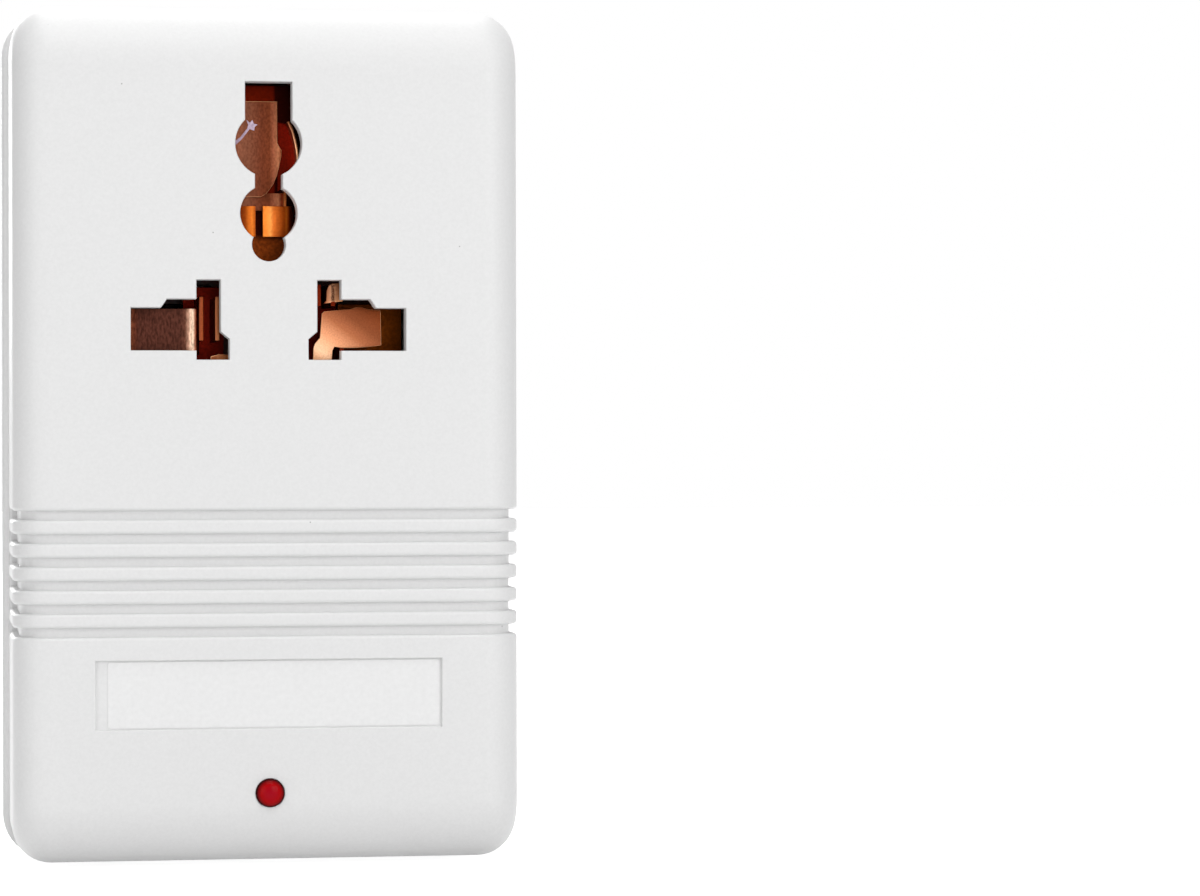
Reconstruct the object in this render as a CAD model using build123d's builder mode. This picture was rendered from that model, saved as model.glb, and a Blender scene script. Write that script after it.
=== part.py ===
from build123d import *
import math
import os

# Travel voltage converter, millimetres.
# Frame: +Z up, the socket face looks along -Y, the plug blades point along +Y, +X is on the
# right when the socket face is looked at. The origin is under the middle of the bounding box.

# Case
case_width = 53.4
case_height = 90.2
front_depth = 21.0
back_depth = 17.7
wall = 2.2
side_edge_radius = 4.0
front_end_radius = 6.5
back_end_radius = 4.4
overrun = 2.0

# Bead round the parting line
bead_proud = 0.7
bead_width = 2.5
bead_round = 0.6

# Grip grooves
groove_count = 6
groove_width = 0.95
groove_pitch = 2.45
groove_depth = 0.85
groove_round = 0.5
groove_top_rise = 37.15
groove_end_gap = 0.25

# Universal socket openings, heights from the line through both lower openings
socket_rim_bevel = 0.15
pin_slot_outer_x = 14.45
pin_slot_inner_x = 7.6
pin_slot_height = 4.48
blade_slot_width = 2.52
blade_slot_top = 5.18
blade_slot_bottom = 3.2
slot_step_rise = 3.16
slot_step_x = 10.66
slot_step_slope = 0.64
slot_foot_width = 0.93
slot_foot_top = 0.26
slot_foot_slope = 0.78
earth_slot_width = 4.95
earth_slot_top = 26.0
earth_top_drop = 8.05
earth_pin_rise = 19.5
earth_pin_radius = 3.5
earth_small_rise = 12.2
earth_small_radius = 3.0
earth_tip_rise = 8.9
earth_tip_radius = 1.77
earth_neck_width = 2.9

# Recessed label panel
label_width = 36.35
label_height = 7.22
label_rise = 17.86
label_recess = 0.3

# Indicator
led_radius = 1.5
led_rise = 7.48
led_proud = 0.9
led_dome_share = 0.96
led_flange_radius = 1.95
led_flange_thickness = 0.9
led_flange_gap = 0.25
led_clearance = 0.05
led_lead_pitch = 2.54
led_lead_size = 0.5
led_lead_length = 4.2
led_part_setback = 4.55
led_part_reach = 12.5

# Case screws, their towers and bosses
screw_side_inset = 7.21
screw_low_rise = 8.21
screw_top_drop = 9.0
recess_radius = 3.05
recess_depth = 10.5
recess_bevel = 0.2
tower_wall = 1.3
tower_floor = 2.0
tower_gap = 0.1
boss_radius = 3.6
case_screw_radius = 1.45
case_screw_length = 13.0
case_screw_head_radius = 2.7
case_screw_head_height = 2.0
thread_clearance = 0.05
hole_clearance = 0.2
drive_width_share = 0.28
drive_length_share = 1.3
drive_depth_share = 0.5
head_round_share = 0.35

# Plug blades
blade_spacing = 12.7
blade_top_drop = 19.55
blade_width = 6.35
blade_thickness = 1.5
blade_reach = 18.0
blade_hole_radius = 1.7
blade_hole_reach = 11.9
blade_tip_bow = 0.9
blade_tip_bevel = 0.45
blade_seam = 0.12
blade_seam_depth = 0.5
blade_foot_width = 8.4
blade_foot_thickness = 1.4
blade_foot_size = 3.0
blade_tail_thickness = 0.8
blade_tail_width = 3.0
blade_tail_length = 6.3
blade_slot_clearance = 0.15
blade_panel_width = 24.1
blade_panel_height = 10.7
panel_recess = 0.2

# Blade clamp
clamp_width = 32.0
clamp_height = 8.6
clamp_thickness = 2.9
clamp_gap = 0.1
clamp_screw_x = 13.5
clamp_post_radius = 2.2
small_screw_radius = 1.1
small_screw_head_radius = 2.0
small_screw_head_height = 1.4
clamp_screw_length = 5.4
pilot_margin = 0.15

# Voltage selector
selector_top_drop = 10.2
selector_travel = 3.0
selector_gap = 0.15
knob_length = 6.0
knob_height = 3.8
knob_below_face = 1.24
knob_rib_count = 6
knob_rib_gap = 0.42
knob_rib_depth = 0.4
frame_sheet = 0.6
frame_bend = 0.7
frame_reveal = 0.3
frame_hat_drop = 3.0
frame_hat_gap = 0.2
frame_ear_end = 12.3
frame_height = 9.0
opening_bevel = 0.5
legend_width = 25.0
legend_height = 6.2
selector_post_x = 10.4
selector_post_radius = 1.8
selector_screw_length = 4.4
base_side = 0.65
base_top_side = 0.9
base_depth = 5.4
base_floor = 2.0
base_gap = 0.1
carriage_length = 10.2
carriage_height = 5.2
carriage_thickness = 1.6
carriage_gap = 0.2
bridge_length = 4.4
bridge_width = 1.1
bridge_sheet = 0.35
bridge_point_radius = 0.45
bridge_play = 0.15
terminal_pitch = 3.0
terminal_row = 1.7
terminal_width = 1.5
terminal_sheet = 0.5
terminal_head = 0.5
terminal_length = 4.2

# Socket contacts
sheet = 0.45
sheet_bend = 0.6
contact_setback = 2.35
contact_outer_x = 14.0
contact_wall_x = 8.1
contact_low = 2.6
contact_high = 2.3
contact_strap_gap = 2.0
web_drop = 5.0
web_depth = 3.5
tail_width = 1.8
tail_stick = 1.9
leaf_inner_x = 5.4
leaf_outer_x = 7.1
leaf_reach = 0.5
line_leaf_low = 1.4
line_leaf_high = 3.5
ledge_low = 3.4
ledge_inner_x = 4.4
neutral_plate_left = 4.6
neutral_plate_width = 7.14
neutral_plate_low = 3.3
neutral_plate_height = 5.35
neutral_plate_shares = (
    (0.105, 1.0),
    (1.0, 1.0),
    (1.0, 0.237),
    (0.364, 0.237),
    (0.308, 0.0),
    (0.0, 0.0),
    (0.014, 0.243),
    (0.098, 0.505),
)
neutral_wing_end = 15.0
neutral_wing_height = 6.0
neutral_wing_setback = 7.0
neutral_leaf_low = 2.6
neutral_leaf_high = 4.9
neutral_curl_x = 7.6
neutral_curl_low = 3.4
earth_plate_left = 4.2
earth_plate_width = 5.72
earth_plate_low = 14.4
earth_plate_height = 9.5
earth_plate_shares = (
    (0.0, 1.0),
    (0.897, 1.0),
    (0.897, 0.558),
    (1.0, 0.442),
    (0.974, 0.258),
    (0.916, 0.137),
    (0.753, 0.0),
    (0.0, 0.0),
)
earth_setback = 3.25
earth_spine_setback = 5.75
earth_spine_low = 5.8
earth_spine_high = 24.5
earth_leaf_x = 2.3
earth_leaf_lean = 0.6
earth_leaf_low = 15.5
earth_leaf_high = 21.8
earth_band_low = 9.3
earth_band_high = 13.2
earth_band_half = 3.6
earth_slit_x = -1.06
earth_slit_width = 0.88
earth_tail_x = 3.7
earth_tail_low = 18.0

# Plate that holds the contacts
contact_depth = 12.55
plate_thickness = 1.8
plate_half_width = 15.2
plate_low = 6.2
plate_top_gap = 3.25
plate_corner = 1.5
slot_clearance = 0.15
plate_post_radius = 2.3
plate_post_x = 11.5
plate_post_rise = 13.5
plate_post_drop = 1.8
plate_screw_length = 7.6

# Transformer, drawn in lamination units
core_side_gap = 3.5
core_top_gap = 1.7
stack_depth = 17.0
core_rise = 13.2
core_gap = 0.05
core_hole_radius = 1.75
core_screw_radius = 1.5
core_screw_length = 22.5
core_screw_head_radius = 2.75
core_screw_head_height = 1.9
washer_radius = 3.2
washer_thickness = 0.6
core_post_radius = 3.2
bobbin_wall = 0.9
bobbin_clearance = 0.15
bobbin_end_gap = 0.2
bobbin_flange_gap = 0.3
winding_margin = 0.73
tape_build = 0.15
winding_clearance = 0.03
winding_corner = 1.0
bobbin_pin_size = 0.9
bobbin_pin_length = 11.0
bobbin_pin_sink = 0.6
bobbin_pin_setback = 3.1
tap_pin_x = 3.0
output_pin_x = 8.0
input_pin_x = 12.4

# Thermal fuse, indicator resistor and diode
fuse_radius = 1.5
fuse_length = 9.0
fuse_lead_radius = 0.4
fuse_end_x = 8.0
fuse_gap = 0.1
fuse_setback = 10.3
resistor_radius = 1.15
resistor_length = 6.3
diode_radius = 1.35
diode_length = 5.2
part_lead_radius = 0.3
part_round_share = 0.3

# Wires and the lanes they lie in
wire_radius = 0.7
led_wire_radius = 0.55
jumper_radius = 0.4
arc_share = 0.45
lane_x = 10.5
lane_setback = 13.9
lane_shift = 3.2
fall_rise = 60.0
fall_depth = 3.5
arch_rise = 56.7
arch_top_x = 4.0
arch_top_drop = 6.5
arch_side_drop = 11.8
selector_dip = 4.2
crossing_x = 5.0
crossing_rise = 68.0
landing_rise = 61.0
landing_gap = 3.0
neutral_lane_x = 9.5
neutral_lane_rise = 63.0
neutral_turn_rise = 58.0
tap_turn_rise = 61.0
jumper_near = 1.1
jumper_far = 2.6
led_wire_side = 1.8
led_wire_front = 1.9
led_wire_rise = 12.5
led_wire_wall_gap = 3.15
led_wire_low_turn = 20.0
led_wire_high_turn = 46.0
led_wire_cross_gap = 1.0

# Inspection sticker
sticker_radius = 5.4
sticker_thickness = 0.1
sticker_x = -1.5
sticker_rise = 8.8

# Depths, from the socket face to the blade tips
part_y = (front_depth + led_proud - back_depth - blade_reach) / 2
front_y = part_y - front_depth
back_y = part_y + back_depth
inner_front_y = front_y + wall
inner_back_y = back_y - wall
recess_floor_y = back_y - recess_depth
tower_end_y = recess_floor_y - tower_floor
boss_end_y = tower_end_y - tower_gap
contact_y = inner_front_y + contact_setback
plate_y = inner_front_y + contact_depth
plate_back_y = plate_y + plate_thickness
tail_end_y = plate_back_y + tail_stick
strap_y = plate_y - contact_strap_gap
foot_back_y = inner_back_y - clamp_gap
foot_front_y = foot_back_y - blade_foot_thickness
blade_tail_y = foot_front_y - blade_tail_length
clamp_back_y = foot_front_y - clamp_gap
clamp_front_y = clamp_back_y - clamp_thickness
frame_front_y = inner_back_y - frame_sheet
carriage_back_y = frame_front_y - carriage_gap
carriage_front_y = carriage_back_y - carriage_thickness
base_back_y = frame_front_y - base_gap
base_front_y = base_back_y - base_depth
terminal_head_y = base_front_y + base_floor
terminal_end_y = base_front_y - terminal_length
core_y = (inner_front_y + inner_back_y) / 2
core_front_y = core_y - stack_depth / 2
core_back_y = core_y + stack_depth / 2

# Heights
floor_z = bead_proud
mid_z = floor_z + case_height / 2
top_z = floor_z + case_height
socket_z = top_z - earth_top_drop - earth_slot_top
blade_z = top_z - blade_top_drop
selector_z = top_z - selector_top_drop
led_z = floor_z + led_rise
plate_top_z = top_z - wall - plate_top_gap
core_z = floor_z + core_rise

# The largest core that the case takes, E and I, in units of a sixth of its width
unit_across = (case_width - 2 * wall - 2 * core_side_gap) / 6
unit_upwards = (socket_z - plate_low - core_top_gap - core_gap - core_z) / 5
lamination_unit = min(unit_across, unit_upwards)
e_top_z = core_z + 4 * lamination_unit
i_bottom_z = e_top_z + core_gap
i_top_z = i_bottom_z + lamination_unit
groove_top_z = floor_z + groove_top_rise
groove_band = (groove_count - 1) * groove_pitch + groove_width
groove_bottom_z = groove_top_z - groove_band

# Bobbin and winding room
tube_half_x = lamination_unit + bobbin_clearance + bobbin_wall
tube_half_y = stack_depth / 2 + bobbin_clearance + bobbin_wall
flange_half_x = 2 * lamination_unit - bobbin_flange_gap
winding_room = flange_half_x - tube_half_x - winding_margin
winding_build = (winding_room - 2 * tape_build - 4 * winding_clearance) / 2
flange_half_y = tube_half_y + winding_room + winding_margin
pin_y = core_y + flange_half_y - bobbin_pin_setback

screw_places = [
    (side * (case_width / 2 - screw_side_inset), height)
    for side in (-1, 1)
    for height in (floor_z + screw_low_rise, top_z - screw_top_drop)
]
blade_places = [(-blade_spacing / 2, blade_z), (blade_spacing / 2, blade_z)]
clamp_places = [(-clamp_screw_x, blade_z), (clamp_screw_x, blade_z)]
plate_places = [
    (-plate_post_x, socket_z + plate_post_rise),
    (plate_post_x, socket_z + plate_post_rise),
    (0, socket_z - plate_post_drop),
]
core_places = [
    (side * 5 * lamination_unit / 2, height)
    for side in (-1, 1)
    for height in (core_z + lamination_unit / 2, i_bottom_z + lamination_unit / 2)
]
selector_places = [(-selector_post_x, selector_z), (selector_post_x, selector_z)]


def depth_plane(y):
    """Upright plane at depth y, drawn as seen from the socket side; it extrudes towards the socket."""
    return Plane.XZ.offset(-y)


def half_form(direction, depth, inset, end_radius):
    """One case half drawn in by inset, rounded at its ends and round both side faces."""
    reach = depth - inset
    with BuildPart() as half:
        with BuildSketch(Plane.YZ) as profile:
            with Locations((part_y + direction * reach / 2, mid_z)):
                Rectangle(reach, case_height - 2 * inset)
            far = profile.vertices().group_by(Axis.X)[-1 if direction > 0 else 0]
            fillet(far, end_radius - inset)
        extrude(amount=case_width / 2 - inset, both=True)
        cheeks = half.faces().group_by(Axis.X)
        rims = (cheeks[0] + cheeks[-1]).edges()
        round_rims = [edge for edge in rims if abs(edge.center().Y - part_y) > overrun / 100]
        fillet(round_rims, side_edge_radius - inset)
    return half.part


def bead_half(direction):
    """Half of the bead round the parting line, rounded on its outer edge."""
    with BuildPart() as bead:
        with BuildSketch(depth_plane(part_y)):
            with Locations((0, mid_z)):
                RectangleRounded(
                    case_width + 2 * bead_proud,
                    case_height + 2 * bead_proud,
                    side_edge_radius + bead_proud,
                )
        extrude(amount=-direction * bead_width / 2)
        far = bead.faces().sort_by(Axis.Y)[-1 if direction > 0 else 0]
        fillet(far.edges(), bead_round)
    return bead.part


def level_section(direction, depth, inset):
    """Level section of one case half, from the parting plane, drawn in by inset."""
    reach = depth - inset
    with BuildSketch(Plane.XY) as level:
        with Locations((0, part_y + direction * reach / 2)):
            Rectangle(case_width - 2 * inset, reach)
        far = level.vertices().group_by(Axis.Y)[-1 if direction > 0 else 0]
        fillet(far, side_edge_radius - inset)
    return level.sketch


def grip_cutter(direction, depth):
    """What the grip band takes off one half: all that lies outside the floor of its grooves."""
    core = level_section(direction, depth, groove_depth)
    near = bead_width / 2 + groove_end_gap
    reach = depth - near + overrun
    with BuildPart() as cutter:
        with BuildSketch(Plane.XY.offset(groove_bottom_z)):
            with Locations((0, part_y + direction * (near + reach / 2))):
                Rectangle(case_width + 2 * overrun, reach)
            add(core, mode=Mode.SUBTRACT)
        extrude(amount=groove_band)
    return cutter.part


def grip_rib(direction, depth, index):
    """One rounded rib of the grip band, as a full slice of the half."""
    section = level_section(direction, depth, 0)
    thickness = groove_pitch - groove_width
    with BuildPart() as rib:
        with BuildSketch(Plane.XY.offset(groove_bottom_z + groove_width + index * groove_pitch)):
            add(section)
        extrude(amount=thickness)
        rims = rib.faces().filter_by(Axis.Z).edges()
        outer = [
            edge for edge in rims if direction * (edge.center().Y - part_y) > bead_width / 2
        ]
        fillet(outer, groove_round)
    return rib.part


def lip_edges(part, direction, depth):
    """Outer edges of the first and last step of the grip band, where a groove meets the case."""
    lips = []
    for level in (groove_bottom_z, groove_top_z):
        for edge in part.edges().filter_by(Plane.XY):
            if abs(edge.center().Z - level) > groove_round / 10:
                continue
            beside = abs(edge.center().X) > case_width / 2 - groove_depth / 2
            ahead = direction * (edge.center().Y - part_y) > depth - groove_depth / 2
            bent = edge.geom_type == GeomType.CIRCLE
            if beside or ahead or bent and edge.radius > side_edge_radius - groove_depth / 2:
                lips.append(edge)
    return lips


def lower_openings(y):
    """The two lower socket openings at depth y: drawn on the left, mirrored to the right."""
    half = pin_slot_height / 2
    foot_x = pin_slot_inner_x - blade_slot_width
    outline = [
        (-pin_slot_outer_x, -half),
        (-pin_slot_outer_x, half),
        (-slot_step_x - slot_step_slope, half),
        (-slot_step_x, slot_step_rise),
        (-pin_slot_inner_x, slot_step_rise),
        (-pin_slot_inner_x, blade_slot_top),
        (-foot_x, blade_slot_top),
        (-foot_x, -slot_foot_top),
        (-foot_x + slot_foot_width, -slot_foot_top - slot_foot_slope),
        (-foot_x + slot_foot_width, -blade_slot_bottom),
        (-pin_slot_inner_x, -blade_slot_bottom),
        (-pin_slot_inner_x, -half),
    ]
    with BuildSketch(depth_plane(y)) as openings:
        with BuildLine():
            Polyline(*[(x, socket_z + z) for x, z in outline], close=True)
        make_face()
        mirror(about=Plane.YZ)
    return openings.sketch


def earth_opening(y):
    """The upper opening at depth y, for flat and round earth pins."""
    with BuildSketch(depth_plane(y)) as opening:
        with Locations((0, socket_z + (earth_slot_top + earth_pin_rise) / 2)):
            Rectangle(earth_slot_width, earth_slot_top - earth_pin_rise)
        with Locations((0, socket_z + earth_pin_rise)):
            Circle(earth_pin_radius)
        with Locations((0, socket_z + (earth_pin_rise + earth_small_rise) / 2)):
            Rectangle(earth_neck_width, earth_pin_rise - earth_small_rise)
        with Locations((0, socket_z + earth_small_rise)):
            Circle(earth_small_radius)
        with Locations((0, socket_z + earth_tip_rise)):
            Circle(earth_tip_radius)
    return opening.sketch


def screw_group(places, seat_y, toward, head_radius, head_height, shank_radius, shank_length):
    """Pan-head screws with a cross recess; their shanks point to the back (1) or the front (-1)."""
    with BuildPart() as group:
        with BuildSketch(depth_plane(seat_y)):
            with Locations(*places):
                Circle(head_radius)
        extrude(amount=toward * head_height)
        crown_y = seat_y - toward * head_height
        crowns = [
            face for face in group.faces() if abs(face.center().Y - crown_y) < head_height / 10
        ]
        fillet([edge for face in crowns for edge in face.edges()], head_height * head_round_share)
        with BuildSketch(depth_plane(crown_y)):
            with Locations(*places):
                Rectangle(head_radius * drive_length_share, head_radius * drive_width_share)
                Rectangle(head_radius * drive_width_share, head_radius * drive_length_share)
        extrude(amount=-toward * head_height * drive_depth_share, mode=Mode.SUBTRACT)
        with BuildSketch(depth_plane(seat_y)):
            with Locations(*places):
                Circle(shank_radius)
        extrude(amount=-toward * shank_length)
    return group


def pressed_strip(points, bend, thickness, low_z, high_z):
    """Sheet strip that follows a bent line in plan and stands between two heights."""
    with BuildPart() as strip:
        with BuildSketch(Plane.XY.offset(low_z)):
            with BuildLine() as line:
                FilletPolyline(*points, radius=bend)
            trace(line.edges(), line_width=thickness)
        extrude(amount=high_z - low_z)
    return strip.part


def block(low, high):
    """Straight block between two corners."""
    middle = [(a + b) / 2 for a, b in zip(low, high)]
    with BuildPart() as solid:
        with Locations(tuple(middle)):
            Box(*[b - a for a, b in zip(low, high)])
    return solid.part


def axial_part(low_x, high_x, y, z, body_radius, body_length, lead_radius):
    """Component with a round body between two leads, lying along X."""
    body_x = (low_x + high_x - body_length) / 2
    with BuildPart() as component:
        with BuildSketch(Plane.YZ.offset(body_x)):
            with Locations((y, z)):
                Circle(body_radius)
        extrude(amount=body_length)
        fillet(component.edges().filter_by(GeomType.CIRCLE), body_radius * part_round_share)
        with BuildSketch(Plane.YZ.offset(low_x)):
            with Locations((y, z)):
                Circle(lead_radius)
        extrude(amount=high_x - low_x)
    return component


def winding_ring(inner_half_x, inner_half_y, corner, build):
    """One rounded layer round the bobbin tube, between its flanges."""
    low_z = core_z + lamination_unit + bobbin_end_gap + bobbin_wall + winding_clearance
    high_z = e_top_z - bobbin_end_gap - bobbin_wall - winding_clearance
    with BuildPart() as ring:
        with BuildSketch(Plane.XY.offset(low_z)):
            with Locations((0, core_y)):
                RectangleRounded(
                    2 * (inner_half_x + build), 2 * (inner_half_y + build), corner + build
                )
                RectangleRounded(
                    2 * inner_half_x, 2 * inner_half_y, corner, mode=Mode.SUBTRACT
                )
        extrude(amount=high_z - low_z)
    return ring


def wire_tube(points, radius):
    """Wire along straight runs and the widest arcs that they leave room for."""
    corners = []
    for before, corner, after in zip(points, points[1:], points[2:]):
        run_in = Vector(*corner) - Vector(*before)
        run_out = Vector(*after) - Vector(*corner)
        turn = math.radians(run_in.get_angle(run_out))
        corners.append(arc_share * min(run_in.length, run_out.length) / math.tan(turn / 2))
    with BuildPart() as tube:
        with BuildLine() as route:
            FilletPolyline(*points, radius=corners)
        with BuildSketch(Plane(origin=points[0], z_dir=Vector(*points[1]) - Vector(*points[0]))):
            Circle(radius)
        sweep(path=route.wires()[0])
    return tube


os.makedirs("parts", exist_ok=True)

# Front shell
front_form = half_form(-1, front_depth, 0, front_end_radius)
front_cavity = half_form(-1, front_depth, wall, front_end_radius)
front_bead = bead_half(-1)
front_cutter = grip_cutter(-1, front_depth)
front_ribs = [grip_rib(-1, front_depth, index) for index in range(groove_count - 1)]
front_lower = lower_openings(front_y - overrun)
front_earth = earth_opening(front_y - overrun)
with BuildPart() as front_shell:
    add(front_form)
    add(front_cutter, mode=Mode.SUBTRACT)
    for front_rib in front_ribs:
        add(front_rib)
    fillet(lip_edges(front_shell.part, -1, front_depth), groove_round)
    add(front_bead)
    add(front_cavity, mode=Mode.SUBTRACT)
    # bosses for the case screws and posts for the contact plate, each with its pilot hole
    with BuildSketch(depth_plane(inner_front_y)):
        with Locations(*screw_places):
            Circle(boss_radius)
    extrude(amount=-(boss_end_y - inner_front_y))
    with BuildSketch(depth_plane(inner_front_y)):
        with Locations(*plate_places):
            Circle(plate_post_radius)
    extrude(amount=-(plate_y - inner_front_y))
    with BuildSketch(depth_plane(boss_end_y)):
        with Locations(*screw_places):
            Circle(case_screw_radius + thread_clearance)
    extrude(amount=case_screw_length - tower_floor + pilot_margin, mode=Mode.SUBTRACT)
    with BuildSketch(depth_plane(plate_y)):
        with Locations(*plate_places):
            Circle(small_screw_radius + thread_clearance)
    extrude(amount=plate_screw_length - plate_thickness + pilot_margin, mode=Mode.SUBTRACT)
    # label panel
    with BuildSketch(depth_plane(front_y)):
        with Locations((0, floor_z + label_rise)):
            Rectangle(label_width, label_height)
    extrude(amount=-label_recess, mode=Mode.SUBTRACT)
    # socket openings with bevelled rims
    extrude(front_lower, amount=-(wall + 2 * overrun), mode=Mode.SUBTRACT)
    extrude(front_earth, amount=-(wall + 2 * overrun), mode=Mode.SUBTRACT)
    face_edges = front_shell.edges().filter_by(Plane.XZ)
    socket_rims = [
        edge
        for edge in face_edges
        if abs(edge.center().Y - front_y) < socket_rim_bevel / 2
        and abs(edge.center().X) < case_width / 2 - side_edge_radius - wall
        and socket_z - 2 * wall < edge.center().Z < socket_z + earth_slot_top + wall / 2
    ]
    chamfer(socket_rims, socket_rim_bevel)
    # indicator hole
    with BuildSketch(depth_plane(front_y - overrun)):
        with Locations((0, led_z)):
            Circle(led_radius + led_clearance)
    extrude(amount=-(wall + 2 * overrun), mode=Mode.SUBTRACT)
front_shell.part.label = "front_shell"
export_step(front_shell.part, "parts/front_shell.step")

# Back shell
back_form = half_form(1, back_depth, 0, back_end_radius)
back_cavity = half_form(1, back_depth, wall, back_end_radius)
back_bead = bead_half(1)
back_cutter = grip_cutter(1, back_depth)
back_ribs = [grip_rib(1, back_depth, index) for index in range(groove_count - 1)]
window_length = knob_length + selector_travel + 2 * selector_gap
window_height = knob_height + 2 * selector_gap
ear_back_y = inner_back_y - frame_hat_drop
with BuildPart() as back_shell:
    add(back_form)
    add(back_cutter, mode=Mode.SUBTRACT)
    for back_rib in back_ribs:
        add(back_rib)
    fillet(lip_edges(back_shell.part, 1, back_depth), groove_round)
    add(back_bead)
    add(back_cavity, mode=Mode.SUBTRACT)
    # towers for the case screws, posts for the transformer, the blade clamp and the selector
    with BuildSketch(depth_plane(inner_back_y)):
        with Locations(*screw_places):
            Circle(recess_radius + tower_wall)
    extrude(amount=inner_back_y - tower_end_y)
    with BuildSketch(depth_plane(inner_back_y)):
        with Locations(*core_places):
            Circle(core_post_radius)
    extrude(amount=inner_back_y - core_back_y)
    with BuildSketch(depth_plane(inner_back_y)):
        with Locations(*clamp_places):
            Circle(clamp_post_radius)
    extrude(amount=inner_back_y - clamp_back_y)
    with BuildSketch(depth_plane(inner_back_y)):
        with Locations(*selector_places):
            Circle(selector_post_radius)
    extrude(amount=frame_hat_drop)
    # screw recesses and their through holes
    with BuildSketch(depth_plane(back_y)):
        with Locations(*screw_places):
            Circle(recess_radius)
    extrude(amount=recess_depth, mode=Mode.SUBTRACT)
    with BuildSketch(depth_plane(back_y)):
        with Locations(*screw_places):
            Circle(case_screw_radius + hole_clearance)
    extrude(amount=recess_depth + tower_floor + overrun, mode=Mode.SUBTRACT)
    recess_rims = [
        edge
        for edge in back_shell.edges().filter_by(GeomType.CIRCLE)
        if abs(edge.center().Y - back_y) < recess_bevel / 2
        and abs(edge.radius - recess_radius) < recess_bevel / 2
    ]
    chamfer(recess_rims, recess_bevel)
    # pilot holes
    with BuildSketch(depth_plane(core_back_y)):
        with Locations(*core_places):
            Circle(core_screw_radius + thread_clearance)
    core_grip = core_screw_length - washer_thickness - stack_depth
    extrude(amount=-(core_grip + pilot_margin), mode=Mode.SUBTRACT)
    with BuildSketch(depth_plane(clamp_back_y)):
        with Locations(*clamp_places):
            Circle(small_screw_radius + thread_clearance)
    extrude(amount=-(clamp_screw_length - clamp_thickness + pilot_margin), mode=Mode.SUBTRACT)
    with BuildSketch(depth_plane(ear_back_y)):
        with Locations(*selector_places):
            Circle(small_screw_radius + thread_clearance)
    extrude(amount=-(selector_screw_length - frame_sheet + pilot_margin), mode=Mode.SUBTRACT)
    # sunk panels round the blades and the selector
    with BuildSketch(depth_plane(back_y)):
        with Locations((0, blade_z)):
            Rectangle(blade_panel_width, blade_panel_height)
        with Locations((0, selector_z)):
            Rectangle(legend_width, legend_height)
    extrude(amount=panel_recess, mode=Mode.SUBTRACT)
    # blade slots and the selector opening
    with BuildSketch(depth_plane(back_y + overrun)):
        with Locations(*blade_places):
            Rectangle(
                blade_thickness + 2 * blade_slot_clearance, blade_width + 2 * blade_slot_clearance
            )
        with Locations((0, selector_z)):
            Rectangle(window_length + 2 * frame_reveal, window_height + 2 * frame_reveal)
    extrude(amount=wall + 2 * overrun, mode=Mode.SUBTRACT)
    opening_rims = [
        edge
        for edge in back_shell.edges().filter_by(Plane.XZ)
        if abs(edge.center().Y - back_y + panel_recess) < panel_recess / 2
        and abs(edge.center().X) < window_length / 2 + 2 * frame_reveal
        and abs(edge.center().Z - selector_z) < window_height / 2 + 2 * frame_reveal
    ]
    chamfer(opening_rims, opening_bevel)
back_shell.part.label = "back_shell"
export_step(back_shell.part, "parts/back_shell.step")

# Case screws, put in from the back
case_screws = screw_group(
    screw_places,
    recess_floor_y,
    -1,
    case_screw_head_radius,
    case_screw_head_height,
    case_screw_radius,
    case_screw_length,
)
case_screws.part.label = "case_screws"
export_step(case_screws.part, "parts/case_screws.step")

# Line contact: a plate behind the left opening and a forked leaf for a flat pin
line_face_y = contact_y + sheet / 2
leaf_front_y = contact_y - leaf_reach
line_wall = pressed_strip(
    [
        (-contact_outer_x, line_face_y),
        (-contact_wall_x, line_face_y),
        (-contact_wall_x, strap_y),
    ],
    sheet_bend,
    sheet,
    socket_z - contact_low,
    socket_z + contact_high,
)
line_fork = pressed_strip(
    [
        (-leaf_outer_x, leaf_front_y),
        (-leaf_outer_x, strap_y),
        (-leaf_inner_x, strap_y),
        (-leaf_inner_x, leaf_front_y),
    ],
    sheet_bend,
    sheet,
    socket_z - line_leaf_low,
    socket_z + line_leaf_high,
)
line_strap = block(
    (-contact_wall_x - sheet / 2, strap_y - sheet / 2, socket_z - ledge_low),
    (-ledge_inner_x, strap_y + sheet / 2, socket_z + contact_high),
)
line_ledge = block(
    (-pin_slot_inner_x + sheet / 2, contact_y, socket_z - ledge_low),
    (-ledge_inner_x, strap_y + sheet / 2, socket_z - ledge_low + sheet),
)
line_web = block(
    (-contact_wall_x - sheet / 2, strap_y - web_depth, socket_z - web_drop),
    (-contact_wall_x + sheet / 2, strap_y + sheet / 2, socket_z - contact_low + sheet),
)
line_tail = block(
    (-contact_wall_x - sheet / 2, strap_y, socket_z - web_drop),
    (-contact_wall_x + sheet / 2, tail_end_y, socket_z - web_drop + tail_width),
)
with BuildPart() as line_contact:
    add(line_wall)
    add(line_fork)
    add(line_strap)
    add(line_ledge)
    add(line_web)
    add(line_tail)
line_contact.part.label = "line_contact"
export_step(line_contact.part, "parts/line_contact.step")

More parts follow.
